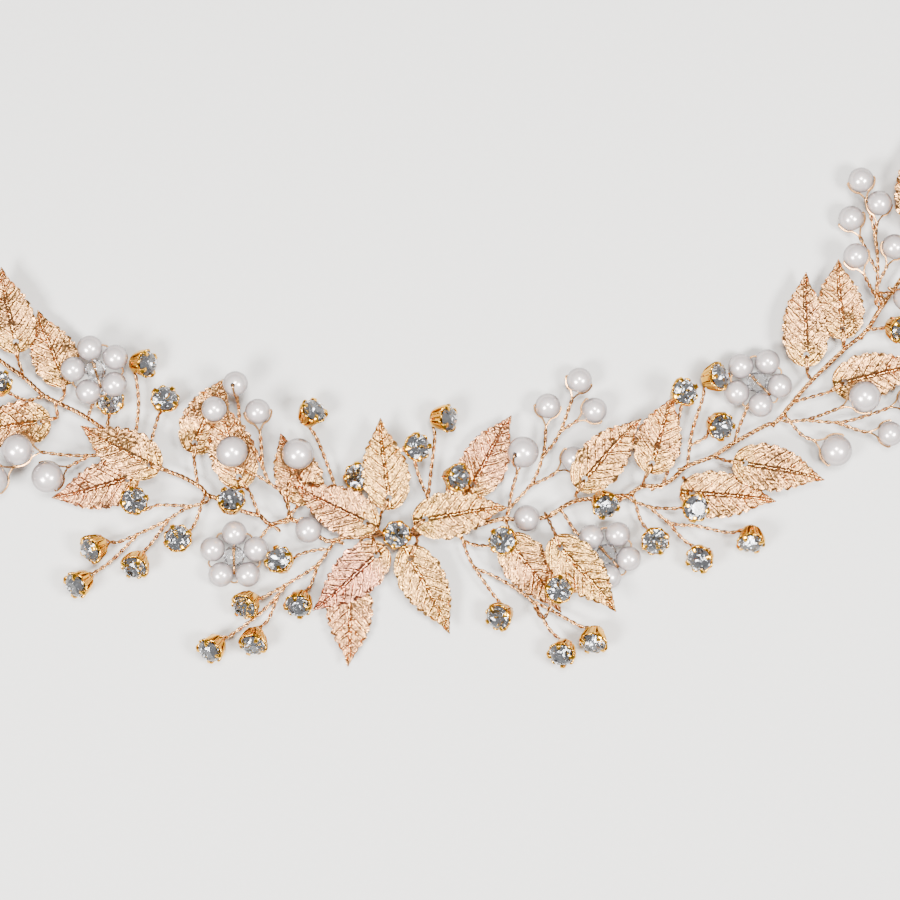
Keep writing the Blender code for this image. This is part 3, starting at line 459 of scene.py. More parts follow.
def node(material, kind, inputs=None, **settings):
    """Add a node; inputs maps a socket to a value or to another node's output."""
    made = material.node_tree.nodes.new(kind)
    for name, value in settings.items():
        setattr(made, name, value)
    for key, value in (inputs or {}).items():
        if isinstance(value, bpy.types.NodeSocket):
            material.node_tree.links.new(value, made.inputs[key])
        else:
            made.inputs[key].default_value = value
    return made


def new_material(name):
    material = bpy.data.materials.new(name)
    material.use_nodes = True
    material.node_tree.nodes.clear()
    return material


def rgba(colour):
    return (*colour, 1.0)


def mottle(material, scale, detail, **more):
    """Noise over a piece, from 0 to 1, with about scale cells to the metre."""
    place = node(material, "ShaderNodeTexCoord")
    texture = node(material, "ShaderNodeTexNoise",
                   {"Vector": place.outputs["Object"], "Scale": scale, "Detail": detail, **more})
    return texture.outputs["Fac"]


def mix(material, factor, low, high):
    """One colour where the factor is 0 and another where it is 1."""
    mixed = node(material, "ShaderNodeMix", {"Factor": factor, 6: low, 7: high}, data_type="RGBA")
    return mixed.outputs[2]


def spread(material, value, low, high, full=1.0):
    """A value that runs from 0 to full, spread between low and high."""
    ranged = node(material, "ShaderNodeMapRange",
                  {"Value": value, "From Max": full, "To Min": low, "To Max": high})
    return ranged.outputs[0]


def bumps(material, height, strength, distance):
    bump = node(material, "ShaderNodeBump",
                {"Height": height, "Strength": strength, "Distance": distance})
    return bump.outputs[0]


def surfaced(material, colour, roughness, more):
    """Finish a material with one surface of this colour, roughness and other settings."""
    shader = node(material, "ShaderNodeBsdfPrincipled",
                  {"Base Color": colour, "Roughness": roughness, **more})
    output = node(material, "ShaderNodeOutputMaterial")
    material.node_tree.links.new(shader.outputs[0], output.inputs["Surface"])
    return material


def stamped_brass_leaf():
    """Thin brass sheet, stamped and flash plated between champagne and rose gold. Its colour
    is painted lighter on the raised veins, as painted highlight, and darker in the crinkled hollows,
    as painted shade; the hollows are also more satin."""
    colours = bpy.context.scene.hair_vine_colours
    material = new_material("stamped_brass_leaf")
    relief = node(material, "ShaderNodeAttribute", attribute_name="relief").outputs["Fac"]
    rose = node(material, "ShaderNodeAttribute", attribute_name="rose").outputs["Fac"]
    # the plating's tone drifts over about 5 mm
    drift = node(material, "ShaderNodeMath", {0: mottle(material, 200.0, 2.0), 1: -0.5},
                 operation="ADD")
    plated = node(material, "ShaderNodeMath", {0: drift.outputs[0], 1: 0.7, 2: rose},
                  operation="MULTIPLY_ADD", use_clamp=True)
    plating = mix(material, plated.outputs[0], rgba(colours.leaf_yellow), rgba(colours.leaf_rose))
    # painted shade and highlight: the plating colour is scaled by the stamped height, darker in the
    # hollows and lighter on the veins and midrib
    painted_shade_and_highlight = spread(material, relief, 0.45, 1.15, full=0.8)
    colour = node(material, "ShaderNodeVectorMath", {0: plating, 3: painted_shade_and_highlight}, operation="SCALE")
    # crinkles of the thin sheet, well under 1 mm apart
    crinkle = mottle(material, 1500.0, 5.0, Roughness=0.7, Distortion=0.8)
    return surfaced(material, colour.outputs[0], spread(material, relief, 0.36, 0.18),
                    {"Metallic": 1.0, "Normal": bumps(material, crinkle, 0.35, 0.00012)})


def drawn_brass_wire():
    """Drawn brass wire, rose gold plated: smooth and bright, with faint drawing marks."""
    colours = bpy.context.scene.hair_vine_colours
    material = new_material("drawn_brass_wire")
    wear = mottle(material, 900.0, 3.0)
    deep = tuple(c * 0.72 for c in colours.wire)
    colour = mix(material, wear, rgba(deep), rgba(colours.wire))
    return surfaced(material, colour, spread(material, wear, 0.16, 0.34), {"Metallic": 1.0})


def pressed_brass_cup():
    """Claw cups pressed from brass and plated in bright yellow gold, with tumbling marks."""
    colours = bpy.context.scene.hair_vine_colours
    material = new_material("pressed_brass_cup")
    marks = mottle(material, 1400.0, 4.0)
    light = tuple(min(1.0, c * 1.2 + 0.01) for c in colours.cup)
    colour = mix(material, marks, rgba(colours.cup), rgba(light))
    return surfaced(material, colour, spread(material, marks, 0.12, 0.3),
                    {"Metallic": 1.0, "Normal": bumps(material, marks, 0.2, 0.00005)})


def pearl_lacquer():
    """Glass beads dipped in pearl essence, under a clear gloss: a pale body with painted shade
    that darkens it to a warm grey towards its edge."""
    colours = bpy.context.scene.hair_vine_colours
    material = new_material("pearl_lacquer")
    # painted shade: the colour darkens towards the pearl's edge as its surface turns away from the
    # view
    edge = node(material, "ShaderNodeLayerWeight", {"Blend": 0.62}).outputs["Facing"]
    cloud = mottle(material, 260.0, 2.0)
    # the dark greys of the painted edge shade, drifting at random between the two
    rim = mix(material, cloud, rgba(linear("#4E4042")), rgba(linear("#443E48")))
    colour = mix(material, edge, rgba(colours.pearl), rim)
    return surfaced(material, colour, 0.24,
                    {"Metallic": 0.4, "IOR": 1.55, "Subsurface Weight": 0.05,
                     "Subsurface Scale": 0.001, "Coat Weight": 0.5, "Coat Roughness": 0.06,
                     "Normal": bumps(material, cloud, 0.08, 0.0001)})


def cut_glass():
    """Machine cut lead glass, clear, with a trace of dust on its facets."""
    material = new_material("cut_glass")
    dust = mottle(material, 1500.0, 2.0)
    return surfaced(material, rgba(linear("#FBFCFF")), spread(material, dust, 0.0, 0.05),
                    {"IOR": 1.56, "Transmission Weight": 1.0})


def stone_foil():
    """The silver foil on the back of a rhinestone, which throws the light out again."""
    material = new_material("stone_foil")
    tarnish = mottle(material, 700.0, 2.0)
    colour = mix(material, tarnish, rgba(linear("#E4E5E8")), rgba(linear("#FFFFFF")))
    return surfaced(material, colour, 0.06, {"Metallic": 1.0})


def studio_floor():
    """Matt seamless paper with a faint fibre mottle."""
    colours = bpy.context.scene.hair_vine_colours
    material = new_material("studio_paper")
    fibre = mottle(material, 900.0, 4.0)
    darker = tuple(c * 0.94 for c in colours.floor)
    return surfaced(material, mix(material, fibre, rgba(darker), rgba(colours.floor)), 0.9, {})


MAKERS = {
    "leaf": stamped_brass_leaf, "wire": drawn_brass_wire, "cup": pressed_brass_cup,
    "pearl": pearl_lacquer, "glass": cut_glass, "foil": stone_foil, "floor": studio_floor,
}
FINISHES = {}


def finish(name):
    if name not in FINISHES:
        FINISHES[name] = MAKERS[name]()
    return FINISHES[name]


# ---------------------------------------------------------------- modelling helpers

def deselect_all():
    for item in bpy.context.selected_objects:
        item.select_set(False)


def select_only(item):
    deselect_all()
    item.select_set(True)
    bpy.context.view_layer.objects.active = item


def apply_modifiers(item):
    select_only(item)
    for modifier in list(item.modifiers):
        bpy.ops.object.modifier_apply(modifier=modifier.name)


def join(items, name):
    deselect_all()
    for item in items:
        item.select_set(True)
    bpy.context.view_layer.objects.active = items[0]
    bpy.ops.object.join()
    items[0].name = name
    return items[0]


@contextmanager
def editing(item, select="SELECT"):
    """Edit mode on one piece, with everything selected at first, nothing with DESELECT, or
    what was selected before with None."""
    select_only(item)
    bpy.ops.object.mode_set(mode="EDIT")
    if select:
        bpy.ops.mesh.select_all(action=select)
    yield
    bpy.ops.object.mode_set(mode="OBJECT")


def tidy_mesh(item, distance=1e-6):
    """Merge doubles and turn the faces outwards."""
    with editing(item):
        bpy.ops.mesh.remove_doubles(threshold=distance)
        bpy.ops.mesh.normals_make_consistent(inside=False)


def place_copy(master, name, matrix):
    """A copy of a master piece with its own mesh, which the matrix moves into place."""
    mesh = master.data.copy()
    mesh.transform(matrix)
    mesh.name = name
    item = bpy.data.objects.new(name, mesh)
    bpy.context.scene.collection.objects.link(item)
    return item


def hand_over(item, body, slot, *nodes):
    """Let a finished piece ride on its body and stand for its nodes."""
    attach(item, body)
    if nodes:
        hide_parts(*nodes)


def facing(heading, tilt):
    """A turn that tilts a setting from upright towards a heading."""
    return Euler((0.0, radians(tilt), radians(heading))).to_matrix().to_4x4()


def remove_master(*masters):
    for master in masters:
        bpy.data.objects.remove(master, do_unlink=True)


# ---------------------------------------------------------------- wire

def smooth_route(points, step):
    """Points every step millimetres along a smooth curve through the given points."""
    knots = [Vector(p) for p in points]
    knots = [2 * knots[0] - knots[1]] + knots + [2 * knots[-1] - knots[-2]]
    dense = []
    for i in range(1, len(knots) - 2):
        a, b, c, d = knots[i - 1:i + 3]
        steps = max(2, int((c - b).length / 0.1))
        for k in range(steps):
            t = k / steps
            dense.append(0.5 * ((2 * b) + (c - a) * t + (2 * a - 5 * b + 4 * c - d) * t ** 2
                                + (3 * b - a - 3 * c + d) * t ** 3))
    dense.append(knots[-2])
    even, travelled = [dense[0]], 0.0
    for before, after in zip(dense, dense[1:]):
        travelled += (after - before).length
        if travelled >= step:
            even.append(after)
            travelled = 0.0
    if (even[-1] - dense[-1]).length > step / 3:
        even.append(dense[-1])
    else:
        even[-1] = dense[-1]
    return even


def twisted_strands(centre_line, count, distance, pitch, start_angle):
    """Strands twisted round a centre line, as lists of points."""
    strands = [[] for _ in range(count)]
    side = Vector((0.0, 0.0, 1.0))
    travelled = 0.0
    for i, point in enumerate(centre_line):
        ahead = centre_line[min(i + 1, len(centre_line) - 1)]
        behind = centre_line[max(i - 1, 0)]
        along = (ahead - behind).normalized()
        side = (side - along * side.dot(along)).normalized()
        across = along.cross(side)
        if i:
            travelled += (point - centre_line[i - 1]).length
        wobble = 0.35 * noise.noise(point * 0.45)
        turn = start_angle + 2 * pi * travelled / pitch + wobble
        for k, strand in enumerate(strands):
            angle = turn + 2 * pi * k / count
            strand.append(point + distance * (cos(angle) * side + sin(angle) * across))
    return strands


def wire_piece(name, strands, radius):
    """One mesh of round wires along lists of points in millimetres."""
    curve = bpy.data.curves.new(name, "CURVE")
    curve.dimensions = "3D"
    curve.bevel_depth = radius
    curve.bevel_resolution = 1
    curve.use_fill_caps = True
    for strand in strands:
        spline = curve.splines.new("POLY")
        spline.points.add(len(strand) - 1)
        flat = [value for point in strand for value in (*(Vector(point) * MM), 1.0)]
        spline.points.foreach_set("co", flat)
    item = bpy.data.objects.new(name, curve)
    bpy.context.scene.collection.objects.link(item)
    select_only(item)
    bpy.ops.object.convert(target="MESH")
    item = bpy.context.object
    item.name = name
    tidy_mesh(item)
    bpy.ops.object.shade_smooth_by_angle(angle=radians(60))
    item.data.materials.clear()
    item.data.materials.append(finish("wire"))
    return item


def twisted_pair(points, start_angle=0.0):
    """Two strands twisted together along a route."""
    sizes = bpy.context.scene.hair_vine_sizes
    line = smooth_route(points, TWIG_STEP)
    return twisted_strands(line, 2, sizes.strand / MM * TWIG_SPREAD, sizes.twig_pitch / MM,
                           start_angle)


def nearest_on_stem(point):
    """How far off the stem a point lies, the nearest point on the stem and its direction."""
    route = [Vector(p) for p in STEM_ROUTE]
    best = None
    for a, b in zip(route, route[1:]):
        run = b - a
        t = max(0.0, min(1.0, (Vector(point) - a).dot(run) / run.length_squared))
        candidate = a + run * t
        gap = (candidate - Vector(point)).length
        if best is None or gap < best[0]:
            best = (gap, candidate, run.normalized())
    return best


def rooted(route):
    """Start a twig inside the stem when its first point lies beside it."""
    reach = 3.2
    buried = 2.4
    comes_out = 0.6
    gap, point, along = nearest_on_stem(route[0])
    if gap > reach:
        return list(route)
    heading = Vector(route[1]) - Vector(route[0])
    lead = along if heading.dot(along) > 0 else -along
    return [tuple(point - lead * buried), tuple(point - lead * comes_out), *route]


def pearl_loop(centre, towards, diameter, turn):
    """One strand from the twist, round the pearl, through its hole and back."""
    r = diameter / 2
    clearance = 0.22
    inside = 0.8 * r
    axis = Euler((0, 0, radians(90))).to_matrix() @ Vector((towards.x, towards.y, 0.0)).normalized()
    axis = (Matrix.Rotation(turn, 3, towards) @ axis).normalized()
    start = centre - towards * (r + PEARL_LOOP_START)
    leg = []
    for degrees in (18, 38, 58, 76, 90):
        angle = radians(degrees)
        leg.append(centre + (r + clearance) * (-cos(angle) * towards + sin(angle) * axis))
    back = [centre + towards * (p - centre).dot(towards)
            - axis * (p - centre).dot(axis) for p in leg]
    through = [centre + axis * inside, centre - axis * inside]
    return [start, *leg, *through, *reversed(back), start], axis


def cup_legs(base, normal, towards):
    """Two strands from the twist that cross under the stone through the cup."""
    across = normal.cross(towards)
    if across.length < 0.1:
        across = normal.cross(Vector((0, 0, 1)))
    across.normalize()
    start = base - towards * CUP_LOOP_START
    neck = base - towards * 0.4
    loops = []
    for lift, splay in ((0.35, 1.0), (0.8, 0.7)):
        side = across * (1.75 + 0.3 * lift)
        centre = base + normal * lift
        loops.append([start, neck + across * splay, centre + side, centre, centre - side,
                      neck - across * splay, start])
    return loops


# ---------------------------------------------------------------- leaves

LEAF_REACH = 16.0          # hole to tip of the leaf die, in millimetres
LEAF_BASE = 2.4            # hole to base
HOLE_RADIUS = 0.66
CURL_HALF_WIDTH = 4.6      # cross curl is measured this far from the midrib
EDGE_SAG = 0.55            # share of the cross curl by which the edge sags there
BUCKLE = 0.55              # size of the random buckling
BUCKLE_CLEAR = 3.0         # it fades out from this distance to the hole

# stamped relief, in millimetres
MIDRIB_HEIGHT = 0.28
VEIN_HEIGHT = 0.18
VEIN_HALF_WIDTH = 0.24
GROOVE_DEPTH = 0.08
GROOVE_OFFSET = 0.4
GROOVE_HALF_WIDTH = 0.2
CRINKLE_HEIGHT = 0.10
FINE_HEIGHT = 0.06
LOBE_DEPTH = 0.5
TOOTH_DEPTH = 0.16
RIM_SHARE = 0.16           # the outer part of the half width that is turned up or down

# a leaf wire's way through the hole: along the stalk, aside and up, the last two as
# shares of the strand's shift and of its height over the sheet
LEAF_LOOP = ((2.7, 1.0, 0.7), (1.4, 1.0, 1.0), (0.4, 0.6, 0.8), (0.2, 0.0, -0.6), (1.4, 1.0, -1.2))


def half_width(t, width):
    """Half the leaf's width at t, from 0 at its round base to 1 at its drawn-out tip."""
    arc = sin(pi * min(1.0, max(0.0, t)) ** 0.72)
    widest = 0.5 ** (1 / 0.72)
    body = arc ** 0.6 if t < widest else arc
    point = min(1.0, max(0.0, (t - 0.72) / 0.2))
    return width / 2 * body * (1 - 0.2 * point * point * (3 - 2 * point))


def vein_phase(x, y, spacing):
    """Counts the side veins, which leave the midrib and sweep towards the tip."""
    reach = abs(y)
    shift = 0.35 if y > 0 else 0.0
    return (x + LEAF_BASE - 0.75 * reach - 0.09 * reach ** 2) / spacing + shift


def relief_at(x, y, width, spacing):
    """Height of the stamped relief in millimetres: midrib, side veins between their
    grooves, and crinkle."""
    t = (x + LEAF_BASE) / (LEAF_REACH + LEAF_BASE)
    wander = 0.12 * noise.noise(Vector((x * 0.8, y * 0.8, 11.0)))
    phase = vein_phase(x, y, spacing) + wander
    off = (phase - round(phase)) * spacing
    vein = np.exp(-(off / VEIN_HALF_WIDTH) ** 2)
    fade = max(0.0, 1 - (abs(y) / (width / 2)) ** 3)
    midrib = np.exp(-(y / (0.34 - 0.16 * t)) ** 2)
    crinkle = 1 - 2 * abs(noise.noise(Vector((x * 1.5, y * 1.5, 3.0))))
    fine = noise.noise(Vector((x * 3.4, y * 3.4, 7.0)))
    groove = np.exp(-((abs(off) - GROOVE_OFFSET) / GROOVE_HALF_WIDTH) ** 2)
    return (MIDRIB_HEIGHT * midrib + VEIN_HEIGHT * vein * fade - GROOVE_DEPTH * groove * fade
            + CRINKLE_HEIGHT * crinkle + FINE_HEIGHT * fine)


def toothed(t, x, edge, spacing):
    """How far the edge stands out: round lobes that meet at the side veins, with small
    teeth, fading out at the base and the tip."""
    phase = vein_phase(x, edge, spacing)
    lobe = abs(sin(pi * phase)) ** 0.7
    tooth = 3.0 * phase - np.floor(3.0 * phase)
    wave = 0.2 * noise.noise(Vector((x * 1.3, edge, 5.0)))
    return (LOBE_DEPTH * lobe + TOOTH_DEPTH * tooth + wave - 0.45) * min(1.0, 5 * t * (1 - t))


def model_leaf():
    """The leaf die: a grid drawn out to the outline, embossed, holed and thickened."""
    sizes = bpy.context.scene.hair_vine_sizes
    width = sizes.leaf_width / MM
    spacing = sizes.vein_spacing / MM
    deselect_all()
    bpy.ops.mesh.primitive_grid_add(x_subdivisions=136, y_subdivisions=66, size=2.0)
    leaf = bpy.context.object
    leaf.name = "leaf_die"
    mesh = leaf.data
    relief = mesh.attributes.new("relief", "FLOAT", "POINT")
    for vertex in mesh.vertices:
        t = (vertex.co.x + 1) / 2
        x = t * (LEAF_REACH + LEAF_BASE) - LEAF_BASE
        side = 1.0 if vertex.co.y > 0 else -1.0
        edge = half_width(t, width)
        edge += toothed(t, x, side * edge, spacing)
        y = vertex.co.y * edge
        height = relief_at(x, y, width, spacing)
        rim = max(0.0, abs(vertex.co.y) - (1 - RIM_SHARE)) / RIM_SHARE
        height += rim * min(1.0, 3 * t) * (0.12 + 0.2 * sin(2.3 * x + 1.3 * side))
        sway = 0.7 * t * t * sin(pi * t)
        # the relief value sets the leaf's roughness and paints shade into its hollows and highlight
        # onto its raised veins
        relief.data[vertex.index].value = min(1.0, max(0.0, 0.3 + 2.2 * height))
        vertex.co = Vector((x, y + sway, height)) * MM
    cut_leaf_hole(leaf)
    thick = leaf.modifiers.new("Sheet", "SOLIDIFY")
    thick.thickness = sizes.leaf_thickness
    thick.offset = 0.0
    apply_modifiers(leaf)
    tidy_mesh(leaf, 1e-7)
    bpy.ops.object.shade_smooth_by_angle(angle=radians(60))
    leaf.data.materials.append(finish("leaf"))
    return leaf


def cut_leaf_hole(leaf):
    """Open the wire hole and draw its rim to a circle."""
    # corners within this many hole radii are drawn in to the rim
    drawn_in = 1.35
    with editing(leaf):
        bpy.ops.mesh.remove_doubles(threshold=1e-6)
        bpy.ops.mesh.select_mode(type="FACE")
        bpy.ops.mesh.select_all(action="DESELECT")
    for face in leaf.data.polygons:
        face.select = Vector(face.center.xy).length < HOLE_RADIUS * MM
    with editing(leaf, None):
        bpy.ops.mesh.delete(type="FACE")
    for vertex in leaf.data.vertices:
        flat = Vector(vertex.co.xy)
        if flat.length < HOLE_RADIUS * drawn_in * MM:
            vertex.co.xy = flat.normalized() * HOLE_RADIUS * MM


def leaf_place(name):
    """The hole's centre, the heading and the reach of a leaf, from the frame."""
    hole = Vector(JOINTS[name + "_swivel"]["pos_m"])
    corners = [v.co for v in frame["nodes"][name].data.vertices]
    tip = max(corners, key=lambda co: (co - hole).length)
    run = tip - hole
    return hole, np.degrees(np.arctan2(run.y, run.x)), run.length / MM


def bend_leaf(mesh, reach, curl, cup, seed):
    """Shape one leaf: fit its reach, curl its tip, cup and buckle its blade."""
    stretch = reach / LEAF_REACH
    for vertex in mesh.vertices:
        x, y, z = vertex.co / MM
        along = max(0.0, x) / LEAF_REACH
        across = y / CURL_HALF_WIDTH
        away = min(1.0, (x * x + y * y) / BUCKLE_CLEAR ** 2)
        z -= curl * along ** 2 + cup * across ** 2 * EDGE_SAG
        z += BUCKLE * away * noise.noise(Vector((x * 0.22, y * 0.22, seed)))
        vertex.co = Vector((x * stretch, y, z)) * MM


def tint_leaf(mesh, rose):
    """Give a leaf its place between yellow gold, 0, and rose gold, 1. Plating is yellower
    towards the base."""
    tint = mesh.attributes.new("rose", "FLOAT", "POINT")
    for vertex in mesh.vertices:
        base = min(1.0, max(0.0, (3.5 - vertex.co.x / MM) / 5.0))
        tint.data[vertex.index].value = rose * (1 - 0.8 * base)


def leaf_wire(name, hole):
    """Two strands through a leaf's hole and round its edge, then twisted to the stem."""
    centre = hole / MM
    stalk = [Vector(point) for point in LEAF_STALKS[name]]
    # the rise point gives the direction, unless it lies right under the hole
    guide = stalk[1] if (stalk[1] - centre).xy.length > 1.0 else stalk[0]
    lead = Vector((*(guide - centre).xy.normalized(), 0.0))
    across = Vector((-lead.y, lead.x, 0.0))
    over = Vector((0.0, 0.0, 0.7))
    start = centre + 3.5 * lead + Vector((0.0, 0.0, -0.5))
    loops = []
    for shift in (-0.2, 0.2):
        side = across * shift
        way = [centre + along * lead + aside * side + up * over for along, aside, up in LEAF_LOOP]
        loops.append(smooth_route([start, *way, start], LOOP_STEP))
    root = stalk[0] if (stalk[0] - start).length > 1.5 else start - lead
    pair = twisted_pair([root, start])
    return wire_piece(name + "_wire", loops + pair, bpy.context.scene.hair_vine_sizes.strand)


# ---------------------------------------------------------------- pearls, stones and cups

def model_pearl():
    """A drilled bead of 2 mm diameter, its hole along X."""
    sizes = bpy.context.scene.hair_vine_sizes
    deselect_all()
    bpy.ops.mesh.primitive_uv_sphere_add(segments=32, ring_count=20, radius=1.0)
    bead = bpy.context.object
    bead.name = "bead_die"
    mouth = sizes.drill_hole / MM / MEAN_PEARL_RADIUS
    lip = 0.9
    with editing(bead, None):
        bpy.ops.mesh.select_mode(type="VERT")
        bpy.ops.mesh.select_all(action="DESELECT")
    for vertex in bead.data.vertices:
        vertex.select = Vector(vertex.co.xy).length < 0.1
    with editing(bead, None):
        bpy.ops.mesh.delete(type="VERT")
        bpy.ops.mesh.select_all(action="DESELECT")
    for vertex in bead.data.vertices:
        radius = Vector(vertex.co.xy).length
        if radius < 0.2:
            vertex.co.xy = Vector(vertex.co.xy) * (mouth * 1.12 / radius)
    with editing(bead, None):
        bpy.ops.mesh.select_mode(type="EDGE")
        bpy.ops.mesh.select_all(action="DESELECT")
        bpy.ops.mesh.select_non_manifold()
        bpy.ops.mesh.bridge_edge_loops(number_cuts=2)
    for vertex in bead.data.vertices:
        radius = Vector(vertex.co.xy).length
        if radius < 0.22 and abs(vertex.co.z) < 0.93:
            vertex.co.xy = Vector(vertex.co.xy) * (mouth / radius)
            vertex.co.z = lip if vertex.co.z > 0 else -lip
    tidy_mesh(bead)
    bpy.ops.object.shade_smooth_by_angle(angle=radians(50))
    bead.data.transform(Matrix.Rotation(radians(90), 4, "Y"))
    bead.data.materials.append(finish("pearl"))
    return bead


def ring_points(count, radius, height, offset=0.0):
    angles = [2 * pi * (i + offset) / count for i in range(count)]
    return [(radius * cos(a), radius * sin(a), height) for a in angles]


def model_stone():
    """A round brilliant of 1 mm girdle radius with its table up: rings of corners
    drawn together by a convex hull."""
    rings = (ring_points(8, 0.56, 0.48) + ring_points(8, 0.82, 0.30, 0.5)
             + ring_points(16, 1.0, 0.03, 0.25) + ring_points(16, 1.0, -0.03, 0.25)
             + ring_points(8, 0.42, -0.52, 0.5) + ring_points(4, 0.06, -0.78))
    deselect_all()
    bpy.ops.mesh.primitive_circle_add(vertices=len(rings), radius=1.0)
    gem = bpy.context.object
    gem.name = "stone_die"
    for vertex, point in zip(gem.data.vertices, rings):
        vertex.co = point
    with editing(gem):
        bpy.ops.mesh.delete(type="EDGE_FACE")
        bpy.ops.mesh.select_all(action="SELECT")
        bpy.ops.mesh.convex_hull()
    tidy_mesh(gem, 1e-5)
    gem.data.materials.append(finish("glass"))
    gem.data.materials.append(finish("foil"))
    for face in gem.data.polygons:
        face.material_index = 1 if face.normal.z < -0.05 else 0
    return gem


def model_bead():
    """A faceted glass bead of 2 mm diameter."""
    deselect_all()
    bpy.ops.mesh.primitive_uv_sphere_add(segments=10, ring_count=7, radius=1.0)
    bead = bpy.context.object
    bead.name = "faceted_bead_die"
    for vertex in bead.data.vertices:
        vertex.co.z *= 0.88
    with editing(bead):
        bpy.ops.mesh.bevel(offset=0.03, offset_type="OFFSET", segments=1, affect="EDGES")
    tidy_mesh(bead, 1e-5)
    bead.data.materials.append(finish("glass"))
    return bead


def bent_bar(points, widths, thickness):
    """A flat bar drawn along points in the XZ plane, by extruding its end face."""
    deselect_all()
    bpy.ops.mesh.primitive_plane_add(size=1.0)
    bar = bpy.context.object
    for vertex in bar.data.vertices:
        vertex.co = (points[0][0] + vertex.co.x * thickness, vertex.co.y * widths[0], points[0][1])
    with editing(bar, None):
        for before, after, width, next_width in zip(points, points[1:], widths, widths[1:]):
            run = (after[0] - before[0], 0.0, after[1] - before[1])
            bpy.ops.mesh.extrude_region_move(TRANSFORM_OT_translate={"value": run})
            bpy.ops.transform.resize(value=(1.0, next_width / width, 1.0),
                                     center_override=(after[0], 0.0, after[1]))
    return bar


def fluted_wall(bottom):
    """The cup's pressed and fluted wall, open at both ends."""
    deselect_all()
    bpy.ops.mesh.primitive_cone_add(vertices=64, radius1=1.6, radius2=STONE_RADIUS, depth=2.4,
                                    end_fill_type="NOTHING", location=(0, 0, bottom + 1.5))
    wall = bpy.context.object
    bpy.ops.object.transform_apply(location=True, rotation=True, scale=True)
    with editing(wall):
        bpy.ops.mesh.subdivide(number_cuts=3)
    for vertex in wall.data.vertices:
        flute = cos(FLUTES * np.arctan2(vertex.co.y, vertex.co.x))
        vertex.co.xy = Vector(vertex.co.xy) * (1 + 0.065 * flute)
    thick = wall.modifiers.new("Wall", "SOLIDIFY")
    thick.thickness = 0.2
    apply_modifiers(wall)
    return wall


def model_cup():
    """A claw cup, its origin half way up the setting: a pressed base, a fluted wall, a
    scalloped rim and four claws bent over the stone."""
    bottom = -SETTING_HEIGHT / 2
    deselect_all()
    bpy.ops.mesh.primitive_cylinder_add(vertices=32, radius=1.62, depth=0.36,
                                        location=(0, 0, bottom + 0.18))
    base = bpy.context.object
    bpy.ops.object.transform_apply(location=True, rotation=True, scale=True)
    bevel = base.modifiers.new("Edge", "BEVEL")
    bevel.width = 0.1
    bevel.segments = 2
    apply_modifiers(base)
    parts = [base, fluted_wall(bottom)]
    claw_path = ((1.55, bottom + 0.1), (2.0, bottom + 0.8), (2.5, bottom + 2.2), (2.72, bottom + 3.1),
                 (2.66, bottom + 3.6), (2.32, bottom + 3.98), (1.86, bottom + 4.06))
    claw_width = (1.05, 1.0, 0.95, 0.95, 0.9, 0.8, 0.6)
    for quarter in range(4):
        claw = bent_bar(claw_path, claw_width, CLAW_THICKNESS)
        round_off = claw.modifiers.new("Round", "BEVEL")
        round_off.width = 0.12
        round_off.segments = 2
        round_off.limit_method = "ANGLE"
        apply_modifiers(claw)
        claw.data.transform(Matrix.Rotation(radians(45 + 90 * quarter), 4, "Z"))
        parts.append(claw)
    rim = []
    for i in range(64):
        angle = 2 * pi * i / 64
        wave = cos(8 * angle)
        radius = 2.5 + 0.12 * wave
        rim.append((radius * cos(angle), radius * sin(angle), bottom + 2.95 + 0.28 * wave))
    parts.append(ring_wire(rim, 0.21, True))
    cup = join(parts, "cup_die")
    with editing(cup):
        bpy.ops.mesh.normals_make_consistent(inside=False)
    bpy.ops.object.shade_smooth_by_angle(angle=radians(45))
    cup.data.materials.clear()
    cup.data.materials.append(finish("cup"))
    return cup


def ring_wire(points, radius, closed):
    """A round bar along points, as a mesh in the units of its points."""
    curve = bpy.data.curves.new("bar", "CURVE")
    curve.dimensions = "3D"
    curve.bevel_depth = radius
    curve.bevel_resolution = 2
    curve.use_fill_caps = True
    spline = curve.splines.new("POLY")
    spline.use_cyclic_u = closed
    spline.points.add(len(points) - 1)
    for control, point in zip(spline.points, points):
        control.co = (*point, 1.0)
    bar = bpy.data.objects.new("bar", curve)
    bpy.context.scene.collection.objects.link(bar)
    select_only(bar)
    bpy.ops.object.convert(target="MESH")
    bar = bpy.context.object
    tidy_mesh(bar)
    return bar


# ---------------------------------------------------------------- operators

DIES = {}


def die(name, maker):
    """A master piece, modelled the first time it is asked for."""
    if name not in DIES:
        DIES[name] = maker()
    return DIES[name]


def add_pearl(name, centre, axis, diameter, body, *nodes):
    turn = Vector((1.0, 0.0, 0.0)).rotation_difference(axis).to_matrix().to_4x4()
    matrix = Matrix.Translation(Vector(centre) * MM) @ turn @ Matrix.Scale(diameter / 2 * MM, 4)
    item = place_copy(die("bead", model_pearl), name, matrix)
    hand_over(item, body, "pearl", *nodes)


def add_setting(name, centre, rotation, body, *nodes):
    spot = Matrix.Translation(Vector(centre) * MM) @ rotation
    cup = place_copy(die("cup", model_cup), name + "_cup", spot @ Matrix.Scale(MM, 4))
    hand_over(cup, body, "gilt_cup", *nodes)
    seat = Matrix.Translation((0.0, 0.0, STONE_SEAT * MM))
    gem = place_copy(die("stone", model_stone), name + "_stone",
                     spot @ seat @ Matrix.Scale(STONE_RADIUS * MM, 4))
    hand_over(gem, body, "stone")


